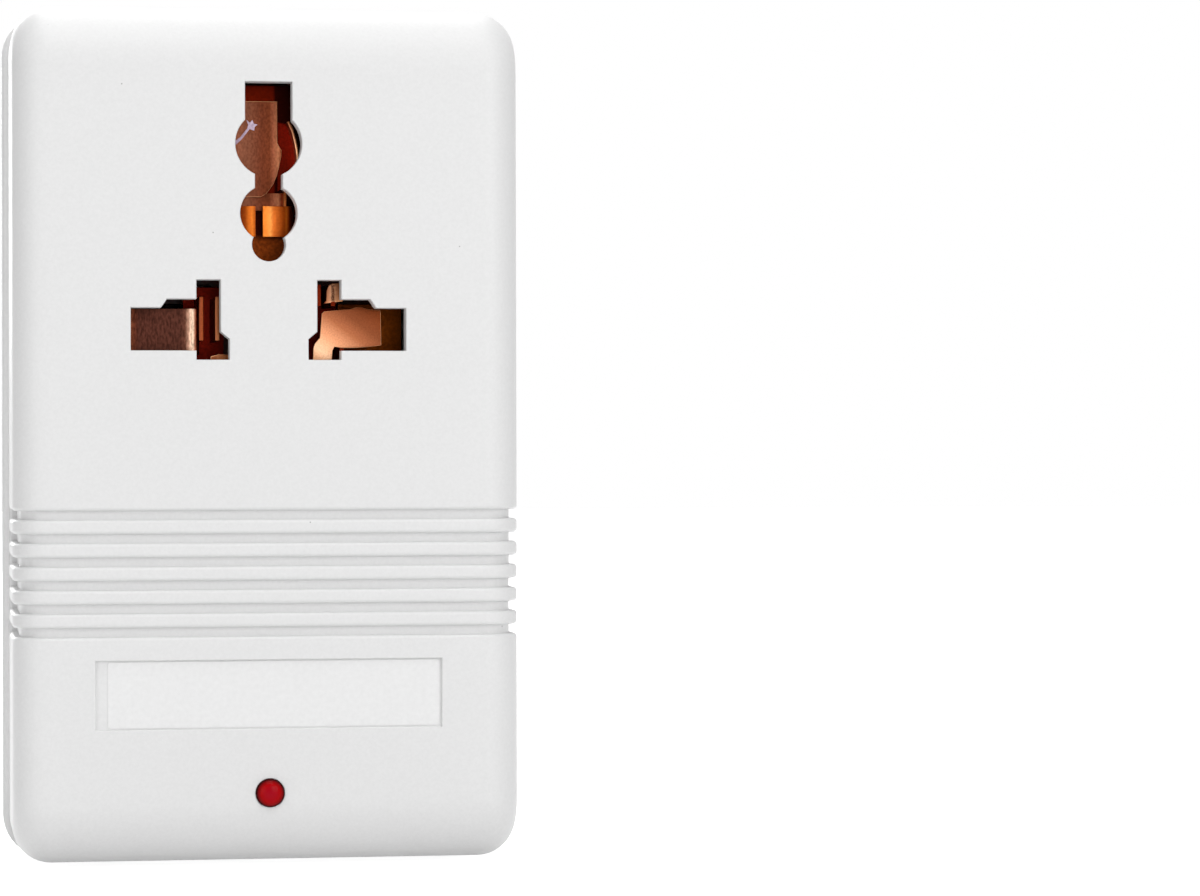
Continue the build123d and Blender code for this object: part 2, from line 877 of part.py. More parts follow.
# Neutral contact: a cut plate in front, a wing deeper in, a forked leaf with a curled end
neutral_web = block(
    (contact_wall_x - sheet / 2, contact_y, socket_z - web_drop),
    (contact_wall_x + sheet / 2, strap_y + sheet / 2, socket_z - slot_foot_slope),
)
neutral_wall = block(
    (contact_wall_x - sheet / 2, contact_y, socket_z - contact_low),
    (contact_wall_x + sheet / 2, strap_y + sheet / 2, socket_z + contact_high - sheet),
)
neutral_tail = block(
    (contact_wall_x - sheet / 2, strap_y, socket_z - web_drop),
    (contact_wall_x + sheet / 2, tail_end_y, socket_z - web_drop + tail_width),
)
wing_y = inner_front_y + neutral_wing_setback
neutral_wing = block(
    (contact_wall_x - sheet / 2, wing_y, socket_z - neutral_wing_height / 2),
    (neutral_wing_end, wing_y + sheet, socket_z + neutral_wing_height / 2),
)
neutral_fork = pressed_strip(
    [
        (leaf_inner_x, leaf_front_y),
        (leaf_inner_x, strap_y),
        (leaf_outer_x, strap_y),
        (leaf_outer_x, leaf_front_y),
    ],
    sheet_bend,
    sheet,
    socket_z + neutral_leaf_low,
    socket_z + neutral_leaf_high,
)
neutral_strap = block(
    (leaf_inner_x - sheet / 2 + sheet_bend, strap_y - sheet / 2, socket_z - slot_foot_slope),
    (contact_wall_x + sheet / 2, strap_y + sheet / 2, socket_z + neutral_leaf_high - sheet),
)
neutral_curl = block(
    (leaf_outer_x - sheet / 2, leaf_front_y, socket_z + neutral_curl_low),
    (neutral_curl_x, leaf_front_y + sheet, socket_z + neutral_leaf_high),
)
with BuildPart() as neutral_contact:
    with BuildSketch(depth_plane(contact_y)):
        with BuildLine():
            Polyline(
                *[
                    (
                        neutral_plate_left + x * neutral_plate_width,
                        socket_z - neutral_plate_low + z * neutral_plate_height,
                    )
                    for x, z in neutral_plate_shares
                ],
                close=True,
            )
        make_face()
    extrude(amount=-sheet)
    add(neutral_web)
    add(neutral_wall)
    add(neutral_tail)
    add(neutral_wing)
    add(neutral_fork)
    add(neutral_strap)
    add(neutral_curl)
neutral_contact.part.label = "neutral_contact"
export_step(neutral_contact.part, "parts/neutral_contact.step")

# Earth contact: spine, front plate on a side wall, leaning leaf, bowed band, two tails
earth_y = inner_front_y + earth_setback
spine_y = inner_front_y + earth_spine_setback
earth_spine = block(
    (-earth_plate_left, spine_y, socket_z + earth_spine_low),
    (earth_plate_left, spine_y + sheet, socket_z + earth_spine_high),
)
earth_wall = block(
    (-earth_plate_left, earth_y, socket_z + earth_plate_low),
    (-earth_plate_left + sheet, spine_y + sheet, socket_z + earth_plate_low + earth_plate_height),
)
earth_leaf = pressed_strip(
    [
        (earth_leaf_x - earth_leaf_lean, earth_y - 2 * sheet),
        (earth_leaf_x, earth_y + sheet),
        (earth_leaf_x, spine_y + sheet / 2),
    ],
    sheet_bend,
    sheet,
    socket_z + earth_leaf_low,
    socket_z + earth_leaf_high,
)
earth_tails = [
    block(
        (x - sheet / 2, spine_y, socket_z + earth_tail_low),
        (x + sheet / 2, tail_end_y, socket_z + earth_tail_low + tail_width),
    )
    for x in (-earth_tail_x, earth_tail_x)
]
with BuildPart() as earth_band:
    with BuildSketch(Plane.XY.offset(socket_z + earth_band_low)):
        with BuildLine() as band_line:
            ThreePointArc(
                (-earth_band_half, spine_y + sheet / 2),
                (0, earth_y),
                (earth_band_half, spine_y + sheet / 2),
            )
        trace(band_line.edges(), line_width=sheet)
    extrude(amount=earth_band_high - earth_band_low)
with BuildPart() as earth_contact:
    with BuildSketch(depth_plane(earth_y)):
        with BuildLine():
            Polyline(
                *[
                    (
                        -earth_plate_left + x * earth_plate_width,
                        socket_z + earth_plate_low + z * earth_plate_height,
                    )
                    for x, z in earth_plate_shares
                ],
                close=True,
            )
        make_face()
    extrude(amount=-sheet)
    add(earth_band.part)
    with BuildSketch(depth_plane(spine_y)):
        with Locations((earth_slit_x, socket_z + (earth_band_low + earth_band_high) / 2)):
            Rectangle(earth_slit_width, earth_band_high - earth_band_low - 2 * sheet)
    extrude(amount=spine_y - earth_y + overrun, mode=Mode.SUBTRACT)
    add(earth_spine)
    add(earth_wall)
    add(earth_leaf)
    for earth_tail in earth_tails:
        add(earth_tail)
earth_contact.part.label = "earth_contact"
export_step(earth_contact.part, "parts/earth_contact.step")

# Plate that holds the contacts, with room for long pins and slots for the tails
plate_openings = lower_openings(plate_y - overrun)
tail_slot_z = socket_z - web_drop + tail_width / 2
earth_slot_z = socket_z + earth_tail_low + tail_width / 2
with BuildPart() as contact_plate:
    with BuildSketch(depth_plane(plate_back_y)):
        with Locations((0, (plate_top_z + socket_z - plate_low) / 2)):
            RectangleRounded(
                2 * plate_half_width, plate_top_z - socket_z + plate_low, plate_corner
            )
        with Locations(
            (-contact_wall_x, tail_slot_z),
            (contact_wall_x, tail_slot_z),
            (-earth_tail_x, earth_slot_z),
            (earth_tail_x, earth_slot_z),
        ):
            Rectangle(
                sheet + 2 * slot_clearance, tail_width + 2 * slot_clearance, mode=Mode.SUBTRACT
            )
        with Locations(*plate_places):
            Circle(small_screw_radius + hole_clearance, mode=Mode.SUBTRACT)
    extrude(amount=plate_thickness)
    extrude(plate_openings, amount=-(plate_thickness + 2 * overrun), mode=Mode.SUBTRACT)
contact_plate.part.label = "contact_plate"
export_step(contact_plate.part, "parts/contact_plate.step")

contact_plate_screws = screw_group(
    plate_places,
    plate_back_y,
    -1,
    small_screw_head_radius,
    small_screw_head_height,
    small_screw_radius,
    plate_screw_length,
)
contact_plate_screws.part.label = "contact_plate_screws"
export_step(contact_plate_screws.part, "parts/contact_plate_screws.step")


def plug_blade(x):
    """Folded flat blade with a bowed tip, a hole, a shoulder inside the case and a solder tail."""
    half = blade_width / 2
    tip_y = back_y + blade_reach
    with BuildPart() as blade:
        with BuildSketch(Plane.YZ.offset(x - blade_thickness / 2)):
            with BuildLine():
                Line((foot_front_y, blade_z - half), (tip_y - blade_tip_bow, blade_z - half))
                ThreePointArc(
                    (tip_y - blade_tip_bow, blade_z - half),
                    (tip_y, blade_z),
                    (tip_y - blade_tip_bow, blade_z + half),
                )
                Line((tip_y - blade_tip_bow, blade_z + half), (foot_front_y, blade_z + half))
                Line((foot_front_y, blade_z + half), (foot_front_y, blade_z - half))
            make_face()
        extrude(amount=blade_thickness)
        tip_edges = [
            edge
            for edge in blade.edges().filter_by(GeomType.CIRCLE)
            if edge.center().Y > tip_y - 2 * blade_tip_bow
        ]
        chamfer(tip_edges, blade_tip_bevel)
        # seam between the two folded layers, along both long edges
        seam_y = back_y + blade_reach / 2
        with BuildSketch(Plane.XY.offset(blade_z - half)):
            with Locations((x, seam_y)):
                Rectangle(blade_seam, blade_reach + overrun)
        extrude(amount=blade_seam_depth, mode=Mode.SUBTRACT)
        with BuildSketch(Plane.XY.offset(blade_z + half)):
            with Locations((x, seam_y)):
                Rectangle(blade_seam, blade_reach + overrun)
        extrude(amount=-blade_seam_depth, mode=Mode.SUBTRACT)
        with BuildSketch(Plane.YZ.offset(x)):
            with Locations((back_y + blade_hole_reach, blade_z)):
                Circle(blade_hole_radius)
        extrude(amount=blade_thickness, both=True, mode=Mode.SUBTRACT)
        with BuildSketch(depth_plane(foot_back_y)):
            with Locations((x, blade_z)):
                Rectangle(blade_foot_size, blade_foot_width)
        extrude(amount=blade_foot_thickness)
        with BuildSketch(depth_plane(foot_front_y)):
            with Locations((x, blade_z)):
                Rectangle(blade_tail_thickness, blade_tail_width)
        extrude(amount=blade_tail_length)
    return blade


line_blade = plug_blade(-blade_spacing / 2)
line_blade.part.label = "line_blade"
export_step(line_blade.part, "parts/line_blade.step")
neutral_blade = plug_blade(blade_spacing / 2)
neutral_blade.part.label = "neutral_blade"
export_step(neutral_blade.part, "parts/neutral_blade.step")

# Clamp over both blade shoulders
with BuildPart() as blade_clamp:
    with BuildSketch(depth_plane(clamp_back_y)):
        with Locations((0, blade_z)):
            RectangleRounded(clamp_width, clamp_height, plate_corner)
        with Locations(*blade_places):
            Rectangle(
                blade_tail_thickness + 2 * slot_clearance,
                blade_tail_width + 2 * slot_clearance,
                mode=Mode.SUBTRACT,
            )
        with Locations(*clamp_places):
            Circle(small_screw_radius + hole_clearance, mode=Mode.SUBTRACT)
    extrude(amount=clamp_thickness)
blade_clamp.part.label = "blade_clamp"
export_step(blade_clamp.part, "parts/blade_clamp.step")

blade_clamp_screws = screw_group(
    clamp_places,
    clamp_front_y,
    1,
    small_screw_head_radius,
    small_screw_head_height,
    small_screw_radius,
    clamp_screw_length,
)
blade_clamp_screws.part.label = "blade_clamp_screws"
export_step(blade_clamp_screws.part, "parts/blade_clamp_screws.step")

# Transformer core: E and I stacks
with BuildPart() as e_laminations:
    with BuildSketch(depth_plane(core_back_y)):
        with Locations((0, core_z + 2 * lamination_unit)):
            Rectangle(6 * lamination_unit, 4 * lamination_unit)
        window_z = core_z + 5 * lamination_unit / 2
        with Locations(
            (-3 * lamination_unit / 2, window_z),
            (3 * lamination_unit / 2, window_z),
        ):
            Rectangle(lamination_unit, 3 * lamination_unit, mode=Mode.SUBTRACT)
        with Locations(*core_places):
            Circle(core_hole_radius, mode=Mode.SUBTRACT)
    extrude(amount=stack_depth)
e_laminations.part.label = "e_laminations"
export_step(e_laminations.part, "parts/e_laminations.step")

with BuildPart() as i_laminations:
    with BuildSketch(depth_plane(core_back_y)):
        with Locations((0, i_bottom_z + lamination_unit / 2)):
            Rectangle(6 * lamination_unit, lamination_unit)
        with Locations(*core_places):
            Circle(core_hole_radius, mode=Mode.SUBTRACT)
    extrude(amount=stack_depth)
i_laminations.part.label = "i_laminations"
export_step(i_laminations.part, "parts/i_laminations.step")

# Bobbin with two flanges and sockets for its pins
bobbin_low_z = core_z + lamination_unit + bobbin_end_gap
bobbin_high_z = e_top_z - bobbin_end_gap
pin_places = [
    (-tap_pin_x, pin_y),
    (tap_pin_x, pin_y),
    (output_pin_x, pin_y),
    (input_pin_x, pin_y),
]
with BuildPart() as bobbin:
    with BuildSketch(Plane.XY.offset(bobbin_low_z)):
        with Locations((0, core_y)):
            RectangleRounded(2 * tube_half_x, 2 * tube_half_y, winding_corner)
    extrude(amount=bobbin_high_z - bobbin_low_z)
    for flange_z in (bobbin_low_z, bobbin_high_z - bobbin_wall):
        with BuildSketch(Plane.XY.offset(flange_z)):
            with Locations((0, core_y)):
                RectangleRounded(2 * flange_half_x, 2 * flange_half_y, winding_corner)
        extrude(amount=bobbin_wall)
    with BuildSketch(Plane.XY.offset(bobbin_low_z)):
        with Locations((0, core_y)):
            Rectangle(
                2 * (tube_half_x - bobbin_wall), 2 * (tube_half_y - bobbin_wall)
            )
    extrude(amount=bobbin_high_z - bobbin_low_z, mode=Mode.SUBTRACT)
    with BuildSketch(Plane.XY.offset(bobbin_high_z)):
        with Locations(*pin_places):
            Rectangle(
                bobbin_pin_size + 2 * thread_clearance, bobbin_pin_size + 2 * thread_clearance
            )
    extrude(amount=-bobbin_pin_sink, mode=Mode.SUBTRACT)
bobbin.part.label = "bobbin"
export_step(bobbin.part, "parts/bobbin.step")

with BuildPart() as bobbin_pins:
    with BuildSketch(Plane.XY.offset(bobbin_high_z - bobbin_pin_sink)):
        with Locations(*pin_places):
            Rectangle(bobbin_pin_size, bobbin_pin_size)
    extrude(amount=bobbin_pin_length + bobbin_pin_sink)
bobbin_pins.part.label = "bobbin_pins"
export_step(bobbin_pins.part, "parts/bobbin_pins.step")

# Windings and tapes, from the tube outwards
layer = winding_clearance
inner_winding = winding_ring(
    tube_half_x + layer, tube_half_y + layer, winding_corner + layer, winding_build
)
inner_winding.part.label = "inner_winding"
export_step(inner_winding.part, "parts/inner_winding.step")
layer += winding_build + winding_clearance
interlayer_tape = winding_ring(
    tube_half_x + layer, tube_half_y + layer, winding_corner + layer, tape_build
)
interlayer_tape.part.label = "interlayer_tape"
export_step(interlayer_tape.part, "parts/interlayer_tape.step")
layer += tape_build + winding_clearance
outer_winding = winding_ring(
    tube_half_x + layer, tube_half_y + layer, winding_corner + layer, winding_build
)
outer_winding.part.label = "outer_winding"
export_step(outer_winding.part, "parts/outer_winding.step")
layer += winding_build + winding_clearance
outer_tape = winding_ring(
    tube_half_x + layer, tube_half_y + layer, winding_corner + layer, tape_build
)
outer_tape.part.label = "outer_tape"
export_step(outer_tape.part, "parts/outer_tape.step")

# Long screws through the core into the back shell, with washers under their heads
with BuildPart() as core_washers:
    with BuildSketch(depth_plane(core_front_y)):
        with Locations(*core_places):
            Circle(washer_radius)
            Circle(core_screw_radius + hole_clearance, mode=Mode.SUBTRACT)
    extrude(amount=washer_thickness)
core_washers.part.label = "core_washers"
export_step(core_washers.part, "parts/core_washers.step")

core_screws = screw_group(
    core_places,
    core_front_y - washer_thickness,
    1,
    core_screw_head_radius,
    core_screw_head_height,
    core_screw_radius,
    core_screw_length,
)
core_screws.part.label = "core_screws"
export_step(core_screws.part, "parts/core_screws.step")

# Thermal fuse over the core
fuse_y = inner_back_y - fuse_setback
fuse_z = i_top_z + fuse_radius + fuse_gap
thermal_fuse = axial_part(
    -fuse_end_x, fuse_end_x, fuse_y, fuse_z, fuse_radius, fuse_length, fuse_lead_radius
)
thermal_fuse.part.label = "thermal_fuse"
export_step(thermal_fuse.part, "parts/thermal_fuse.step")

# Selector: slider with its knob, at rest at the -X end of its travel
slider_x = -selector_travel / 2
knob_y = back_y - knob_below_face
rib_width = (knob_length - (knob_rib_count - 1) * knob_rib_gap) / knob_rib_count
with BuildPart() as selector_slider:
    with BuildSketch(depth_plane(carriage_back_y)):
        with Locations((slider_x, selector_z)):
            Rectangle(carriage_length, carriage_height)
    extrude(amount=carriage_thickness)
    with BuildSketch(depth_plane(knob_y)):
        with Locations((slider_x, selector_z)):
            Rectangle(knob_length, knob_height)
    extrude(amount=knob_y - carriage_back_y)
    with BuildSketch(depth_plane(knob_y)):
        with Locations((slider_x, selector_z)):
            with GridLocations(rib_width + knob_rib_gap, 0, knob_rib_count - 1, 1):
                Rectangle(knob_rib_gap, knob_height)
    extrude(amount=knob_rib_depth, mode=Mode.SUBTRACT)
selector_slider.part.label = "selector_slider"
export_step(selector_slider.part, "parts/selector_slider.step")

# Two moving bridges under the slider, each with two contact points
point_y = terminal_head_y + terminal_head + bridge_play
with BuildPart() as selector_bridges:
    with BuildSketch(depth_plane(carriage_front_y)):
        with Locations(
            (slider_x, selector_z - terminal_row),
            (slider_x, selector_z + terminal_row),
        ):
            Rectangle(bridge_length, bridge_width)
    extrude(amount=bridge_sheet)
    with BuildSketch(depth_plane(carriage_front_y)):
        with Locations((slider_x, selector_z)):
            with GridLocations(terminal_pitch, 2 * terminal_row, 2, 2):
                Circle(bridge_point_radius)
    extrude(amount=carriage_front_y - point_y)
selector_bridges.part.label = "selector_bridges"
export_step(selector_bridges.part, "parts/selector_bridges.step")

# Steel frame: a hat over the base, its ears on two posts
base_half_x = (carriage_length + selector_travel) / 2 + selector_gap + base_side
base_half_z = carriage_height / 2 + selector_gap + base_top_side
hat_x = base_half_x + frame_hat_gap + frame_sheet / 2
hat_y = frame_front_y + frame_sheet / 2
frame_ear_y = ear_back_y - frame_sheet / 2
frame_form = pressed_strip(
    [
        (-frame_ear_end, frame_ear_y),
        (-hat_x, frame_ear_y),
        (-hat_x, hat_y),
        (hat_x, hat_y),
        (hat_x, frame_ear_y),
        (frame_ear_end, frame_ear_y),
    ],
    frame_bend,
    frame_sheet,
    selector_z - frame_height / 2,
    selector_z + frame_height / 2,
)
with BuildPart() as selector_frame:
    add(frame_form)
    with BuildSketch(depth_plane(back_y)):
        with Locations((0, selector_z)):
            Rectangle(window_length, window_height)
        with Locations(*selector_places):
            Circle(small_screw_radius + hole_clearance)
    extrude(amount=back_depth, mode=Mode.SUBTRACT)
selector_frame.part.label = "selector_frame"
export_step(selector_frame.part, "parts/selector_frame.step")

selector_screws = screw_group(
    selector_places,
    ear_back_y - frame_sheet,
    1,
    small_screw_head_radius,
    small_screw_head_height,
    small_screw_radius,
    selector_screw_length,
)
selector_screws.part.label = "selector_screws"
export_step(selector_screws.part, "parts/selector_screws.step")

# Selector base, open towards the slider, with six terminals through its floor
with BuildPart() as selector_base:
    with BuildSketch(depth_plane(base_back_y)):
        with Locations((0, selector_z)):
            Rectangle(2 * base_half_x, 2 * base_half_z)
    extrude(amount=base_depth)
    with BuildSketch(depth_plane(base_back_y)):
        with Locations((0, selector_z)):
            Rectangle(2 * (base_half_x - base_side), 2 * (base_half_z - base_top_side))
    extrude(amount=base_depth - base_floor, mode=Mode.SUBTRACT)
    with BuildSketch(depth_plane(base_back_y)):
        with Locations((0, selector_z)):
            with GridLocations(terminal_pitch, 2 * terminal_row, 3, 2):
                Rectangle(
                    terminal_width + 2 * thread_clearance, terminal_sheet + 2 * thread_clearance
                )
    extrude(amount=base_depth + overrun, mode=Mode.SUBTRACT)
selector_base.part.label = "selector_base"
export_step(selector_base.part, "parts/selector_base.step")

with BuildPart() as selector_terminals:
    with BuildSketch(depth_plane(terminal_head_y)):
        with Locations((0, selector_z)):
            with GridLocations(terminal_pitch, 2 * terminal_row, 3, 2):
                Rectangle(terminal_width, terminal_sheet)
    extrude(amount=terminal_head_y - terminal_end_y)
    with BuildSketch(depth_plane(terminal_head_y)):
        with Locations((0, selector_z)):
            with GridLocations(terminal_pitch, 2 * terminal_row, 3, 2):
                Rectangle(terminal_width, bridge_width)
    extrude(amount=-terminal_head)
selector_terminals.part.label = "selector_terminals"
export_step(selector_terminals.part, "parts/selector_terminals.step")

# Indicator: domed lamp with a flange behind the wall, two leads, resistor and diode
led_flange_y = inner_front_y + led_flange_gap
with BuildPart() as indicator_led:
    with BuildSketch(depth_plane(led_flange_y)):
        with Locations((0, led_z)):
            Circle(led_radius)
    extrude(amount=wall + led_flange_gap + led_proud)
    fillet(indicator_led.edges().sort_by(Axis.Y)[0], led_radius * led_dome_share)
    with BuildSketch(depth_plane(led_flange_y)):
        with Locations((0, led_z)):
            Circle(led_flange_radius)
    extrude(amount=-led_flange_thickness)
indicator_led.part.label = "indicator_led"
export_step(indicator_led.part, "parts/indicator_led.step")

led_back_y = led_flange_y + led_flange_thickness
with BuildPart() as led_leads:
    with BuildSketch(depth_plane(led_back_y)):
        with Locations((-led_lead_pitch / 2, led_z), (led_lead_pitch / 2, led_z)):
            Rectangle(led_lead_size, led_lead_size)
    extrude(amount=-led_lead_length)
led_leads.part.label = "led_leads"
export_step(led_leads.part, "parts/led_leads.step")

led_part_y = inner_front_y + led_part_setback
led_side_x = led_lead_pitch / 2 + led_lead_size / 2
led_resistor = axial_part(
    -led_part_reach,
    -led_side_x,
    led_part_y,
    led_z,
    resistor_radius,
    resistor_length,
    part_lead_radius,
)
led_resistor.part.label = "led_resistor"
export_step(led_resistor.part, "parts/led_resistor.step")
led_diode = axial_part(
    led_side_x, led_part_reach, led_part_y, led_z, diode_radius, diode_length, part_lead_radius
)
led_diode.part.label = "led_diode"
export_step(led_diode.part, "parts/led_diode.step")

# Inspection sticker on the back face
with BuildPart() as inspection_sticker:
    with BuildSketch(depth_plane(back_y)):
        with Locations((sticker_x, floor_z + sticker_rise)):
            Circle(sticker_radius)
    extrude(amount=-sticker_thickness)
inspection_sticker.part.label = "inspection_sticker"
export_step(inspection_sticker.part, "parts/inspection_sticker.step")

# Wires: each list runs from one terminal face to the other
blade_x = blade_spacing / 2
pin_top_z = bobbin_high_z + bobbin_pin_length
upper_z = selector_z + terminal_row
lower_z = selector_z - terminal_row
lane_y = inner_back_y - lane_setback
fall_y = blade_tail_y - fall_depth
tail_z = socket_z - web_drop + tail_width / 2
tail_bottom_z = socket_z - web_drop
arch_z = floor_z + arch_rise
dip_y = terminal_end_y - selector_dip
tap_y = terminal_end_y + terminal_length / 2
led_lane_x = case_width / 2 - wall - led_wire_wall_gap
led_lane_y = led_part_y - led_wire_front
led_cross_z = i_top_z + led_wire_cross_gap
led_join_y = tail_end_y - tail_stick / 2

wire_routes = {
    "fuse_wire": [
        (-blade_x, blade_tail_y, blade_z),
        (-blade_x, fall_y, blade_z),
        (-lane_x, fall_y, floor_z + fall_rise),
        (-lane_x, fuse_y, fuse_z),
        (-fuse_end_x, fuse_y, fuse_z),
    ],
    "selector_input_wire": [
        (fuse_end_x, fuse_y, fuse_z),
        (lane_x, fuse_y, fuse_z),
        (lane_x, lane_y, fuse_z + selector_dip),
        (lane_x, lane_y, top_z - arch_side_drop),
        (arch_top_x, dip_y, top_z - arch_top_drop),
        (0, dip_y, upper_z),
        (0, terminal_end_y, upper_z),
    ],
    "output_line_wire": [
        (0, terminal_end_y, lower_z),
        (0, dip_y, lower_z),
        (-crossing_x, dip_y, floor_z + crossing_rise),
        (-contact_wall_x, tail_end_y + landing_gap, floor_z + landing_rise),
        (-contact_wall_x, tail_end_y + landing_gap, tail_z),
        (-contact_wall_x, tail_end_y, tail_z),
    ],
    "input_neutral_wire": [
        (blade_x, blade_tail_y, blade_z),
        (blade_x, fall_y, blade_z),
        (neutral_lane_x, fall_y, floor_z + neutral_lane_rise),
        (input_pin_x, pin_y - landing_gap, floor_z + neutral_turn_rise),
        (input_pin_x, pin_y, arch_z),
        (input_pin_x, pin_y, pin_top_z),
    ],
    "output_neutral_wire": [
        (contact_wall_x, tail_end_y, tail_z),
        (contact_wall_x, tail_end_y + selector_dip, tail_z),
        (output_pin_x, pin_y - selector_dip, arch_z),
        (output_pin_x, pin_y, arch_z),
        (output_pin_x, pin_y, pin_top_z),
    ],
    "tap_110_wire": [
        (-tap_pin_x, pin_y, pin_top_z),
        (-tap_pin_x, pin_y, arch_z),
        (-tap_pin_x, tap_y, floor_z + tap_turn_rise),
        (-tap_pin_x, tap_y, lower_z - terminal_sheet / 2),
    ],
    "tap_220_wire": [
        (tap_pin_x, pin_y, pin_top_z),
        (tap_pin_x, pin_y, arch_z),
        (tap_pin_x, tap_y, floor_z + tap_turn_rise),
        (tap_pin_x, tap_y, lower_z - terminal_sheet / 2),
    ],
}
led_route = [
    (led_part_reach, led_part_y, led_z),
    (led_part_reach + led_wire_side, led_part_y, led_z),
    (led_part_reach + led_wire_side, led_lane_y, floor_z + led_wire_rise),
    (led_lane_x, led_lane_y, floor_z + led_wire_low_turn),
    (led_lane_x, led_lane_y, floor_z + led_wire_high_turn),
    (led_lane_x, led_part_y, led_cross_z),
    (contact_wall_x, led_join_y, led_cross_z),
    (contact_wall_x, led_join_y, tail_bottom_z),
]
jumper_rows = [
    (-1, jumper_near),
    (1, jumper_far),
]

for wire_name, route in wire_routes.items():
    wire = wire_tube(route, wire_radius)
    wire.part.label = wire_name
    export_step(wire.part, f"parts/{wire_name}.step")

for wire_name, side in (("led_line_wire", -1), ("led_neutral_wire", 1)):
    wire = wire_tube([(side * x, y, z) for x, y, z in led_route], led_wire_radius)
    wire.part.label = wire_name
    export_step(wire.part, f"parts/{wire_name}.step")

# Bare jumpers that cross the selector's outer terminals
jumpers = [
    wire_tube(
        [
            (side * terminal_pitch, terminal_end_y, upper_z),
            (side * terminal_pitch, terminal_end_y - reach, upper_z),
            (-side * terminal_pitch, terminal_end_y - reach, lower_z),
            (-side * terminal_pitch, terminal_end_y, lower_z),
        ],
        jumper_radius,
    )
    for side, reach in jumper_rows
]
with BuildPart() as selector_jumpers:
    for jumper in jumpers:
        add(jumper.part)
selector_jumpers.part.label = "selector_jumpers"
export_step(selector_jumpers.part, "parts/selector_jumpers.step")
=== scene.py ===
# %% [markdown]
# # Travel voltage converter
# This lesson dresses a travel voltage converter: a white moulded box with a universal socket in
# front and two plug blades behind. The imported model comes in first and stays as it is; every new
# piece is made round it in the same frame, where +Z is up and the socket looks along -Y.

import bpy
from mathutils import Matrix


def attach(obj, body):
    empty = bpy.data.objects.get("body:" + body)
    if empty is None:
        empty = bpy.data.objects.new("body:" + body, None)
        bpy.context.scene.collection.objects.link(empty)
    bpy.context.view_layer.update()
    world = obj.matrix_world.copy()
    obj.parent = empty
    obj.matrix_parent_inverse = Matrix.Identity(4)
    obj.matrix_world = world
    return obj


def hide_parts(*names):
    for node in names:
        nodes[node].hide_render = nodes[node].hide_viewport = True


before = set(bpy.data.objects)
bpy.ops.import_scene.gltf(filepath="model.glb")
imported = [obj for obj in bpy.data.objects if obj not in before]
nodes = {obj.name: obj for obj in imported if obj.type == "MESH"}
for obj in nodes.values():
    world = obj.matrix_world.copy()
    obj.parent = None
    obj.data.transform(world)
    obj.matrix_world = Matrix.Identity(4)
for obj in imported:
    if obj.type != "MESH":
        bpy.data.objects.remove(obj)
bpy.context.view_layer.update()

# %% Import the tools
import math

import bmesh
import bpy
from mathutils import Vector

# %% [markdown]
# ## The case in numbers
# The case is two halves of moulded ABS that meet in a round bead. The same sizes as in the
# model's source are written here once, in millimetres, because pieces are easier to draw in the
# unit that they are measured in. Each piece is brought to metres when it is finished.

# %% Name the main sizes
MM = 0.001
case_width, case_height = 53.4, 90.2
front_depth, back_depth = 21.0, 17.7
front_end_radius, back_end_radius = 6.5, 4.4
wall = 2.2
# How far a form that cuts or joins reaches past the face that it meets
overrun = 1.0
part_y = -6.9
front_y = part_y - front_depth
back_y = part_y + back_depth
floor_z = 0.7
top_z = floor_z + case_height
socket_z = 56.85
blade_z = 71.35
selector_z = 80.7
blade_x = 6.35
screw_x, low_screw_z, high_screw_z = 19.49, 8.91, 81.9
screw_places = [(x, z) for x in (-screw_x, screw_x) for z in (low_screw_z, high_screw_z)]
print("case depth", round(back_y - front_y, 2), "mm")

# %% [markdown]
# ## The camera
# The photograph was taken a little to the left of the socket face, from half a metre away, at
# the height of its middle. The camera comes first, so that each piece can be looked at from the
# same place. It was found by fitting corners and openings of the case to their places in the
# picture, which is 1200 pixels wide.

# %% Place the camera
picture_width = 1200
focal_pixels = 4165.06
view_turn, view_rise, view_roll = math.radians(-9.207), math.radians(-0.133), math.radians(-0.138)
view_distance, view_right, view_up = 457.838, -38.049, 1.261
view_target = Vector((0, part_y, floor_z + 45))
back_way = Vector((
    math.sin(view_turn) * math.cos(view_rise),
    -math.cos(view_turn) * math.cos(view_rise),
    math.sin(view_rise),
))
right_way = Vector((math.cos(view_turn), math.sin(view_turn), 0))
up_way = back_way.cross(right_way)
turned_right = math.cos(view_roll) * right_way + math.sin(view_roll) * up_way
turned_up = -math.sin(view_roll) * right_way + math.cos(view_roll) * up_way
eye = view_target - view_right * turned_right - view_up * turned_up + view_distance * back_way
bpy.ops.object.camera_add(location=eye * MM)
camera = bpy.context.object
camera.name = "photo_camera"
camera.matrix_world = camera.matrix_world.copy()
for row in range(3):
    camera.matrix_world[row][0] = turned_right[row]
    camera.matrix_world[row][1] = turned_up[row]
    camera.matrix_world[row][2] = back_way[row]
camera.data.sensor_width = 36
camera.data.lens = focal_pixels * camera.data.sensor_width / picture_width
camera.data.clip_start = 0.01
bpy.context.scene.camera = camera
print("lens", round(camera.data.lens, 1), "mm")

# %% [markdown]
# ## Hand tools
# An operator in Blender works on whatever is selected. These helpers select one piece, open it
# with only the faces or edges that are wanted, and close it again, as a hand would with the
# mouse. Another cuts one piece with others, and the last one brings a piece to metres.

# %% Select by place
def only(piece):
    """Close what is open and select one piece alone."""
    if bpy.context.object and bpy.context.object.mode == "EDIT":
        bpy.ops.object.mode_set(mode="OBJECT")
    bpy.ops.object.select_all(action="DESELECT")
    piece.select_set(True)
    bpy.context.view_layer.objects.active = piece
    return piece


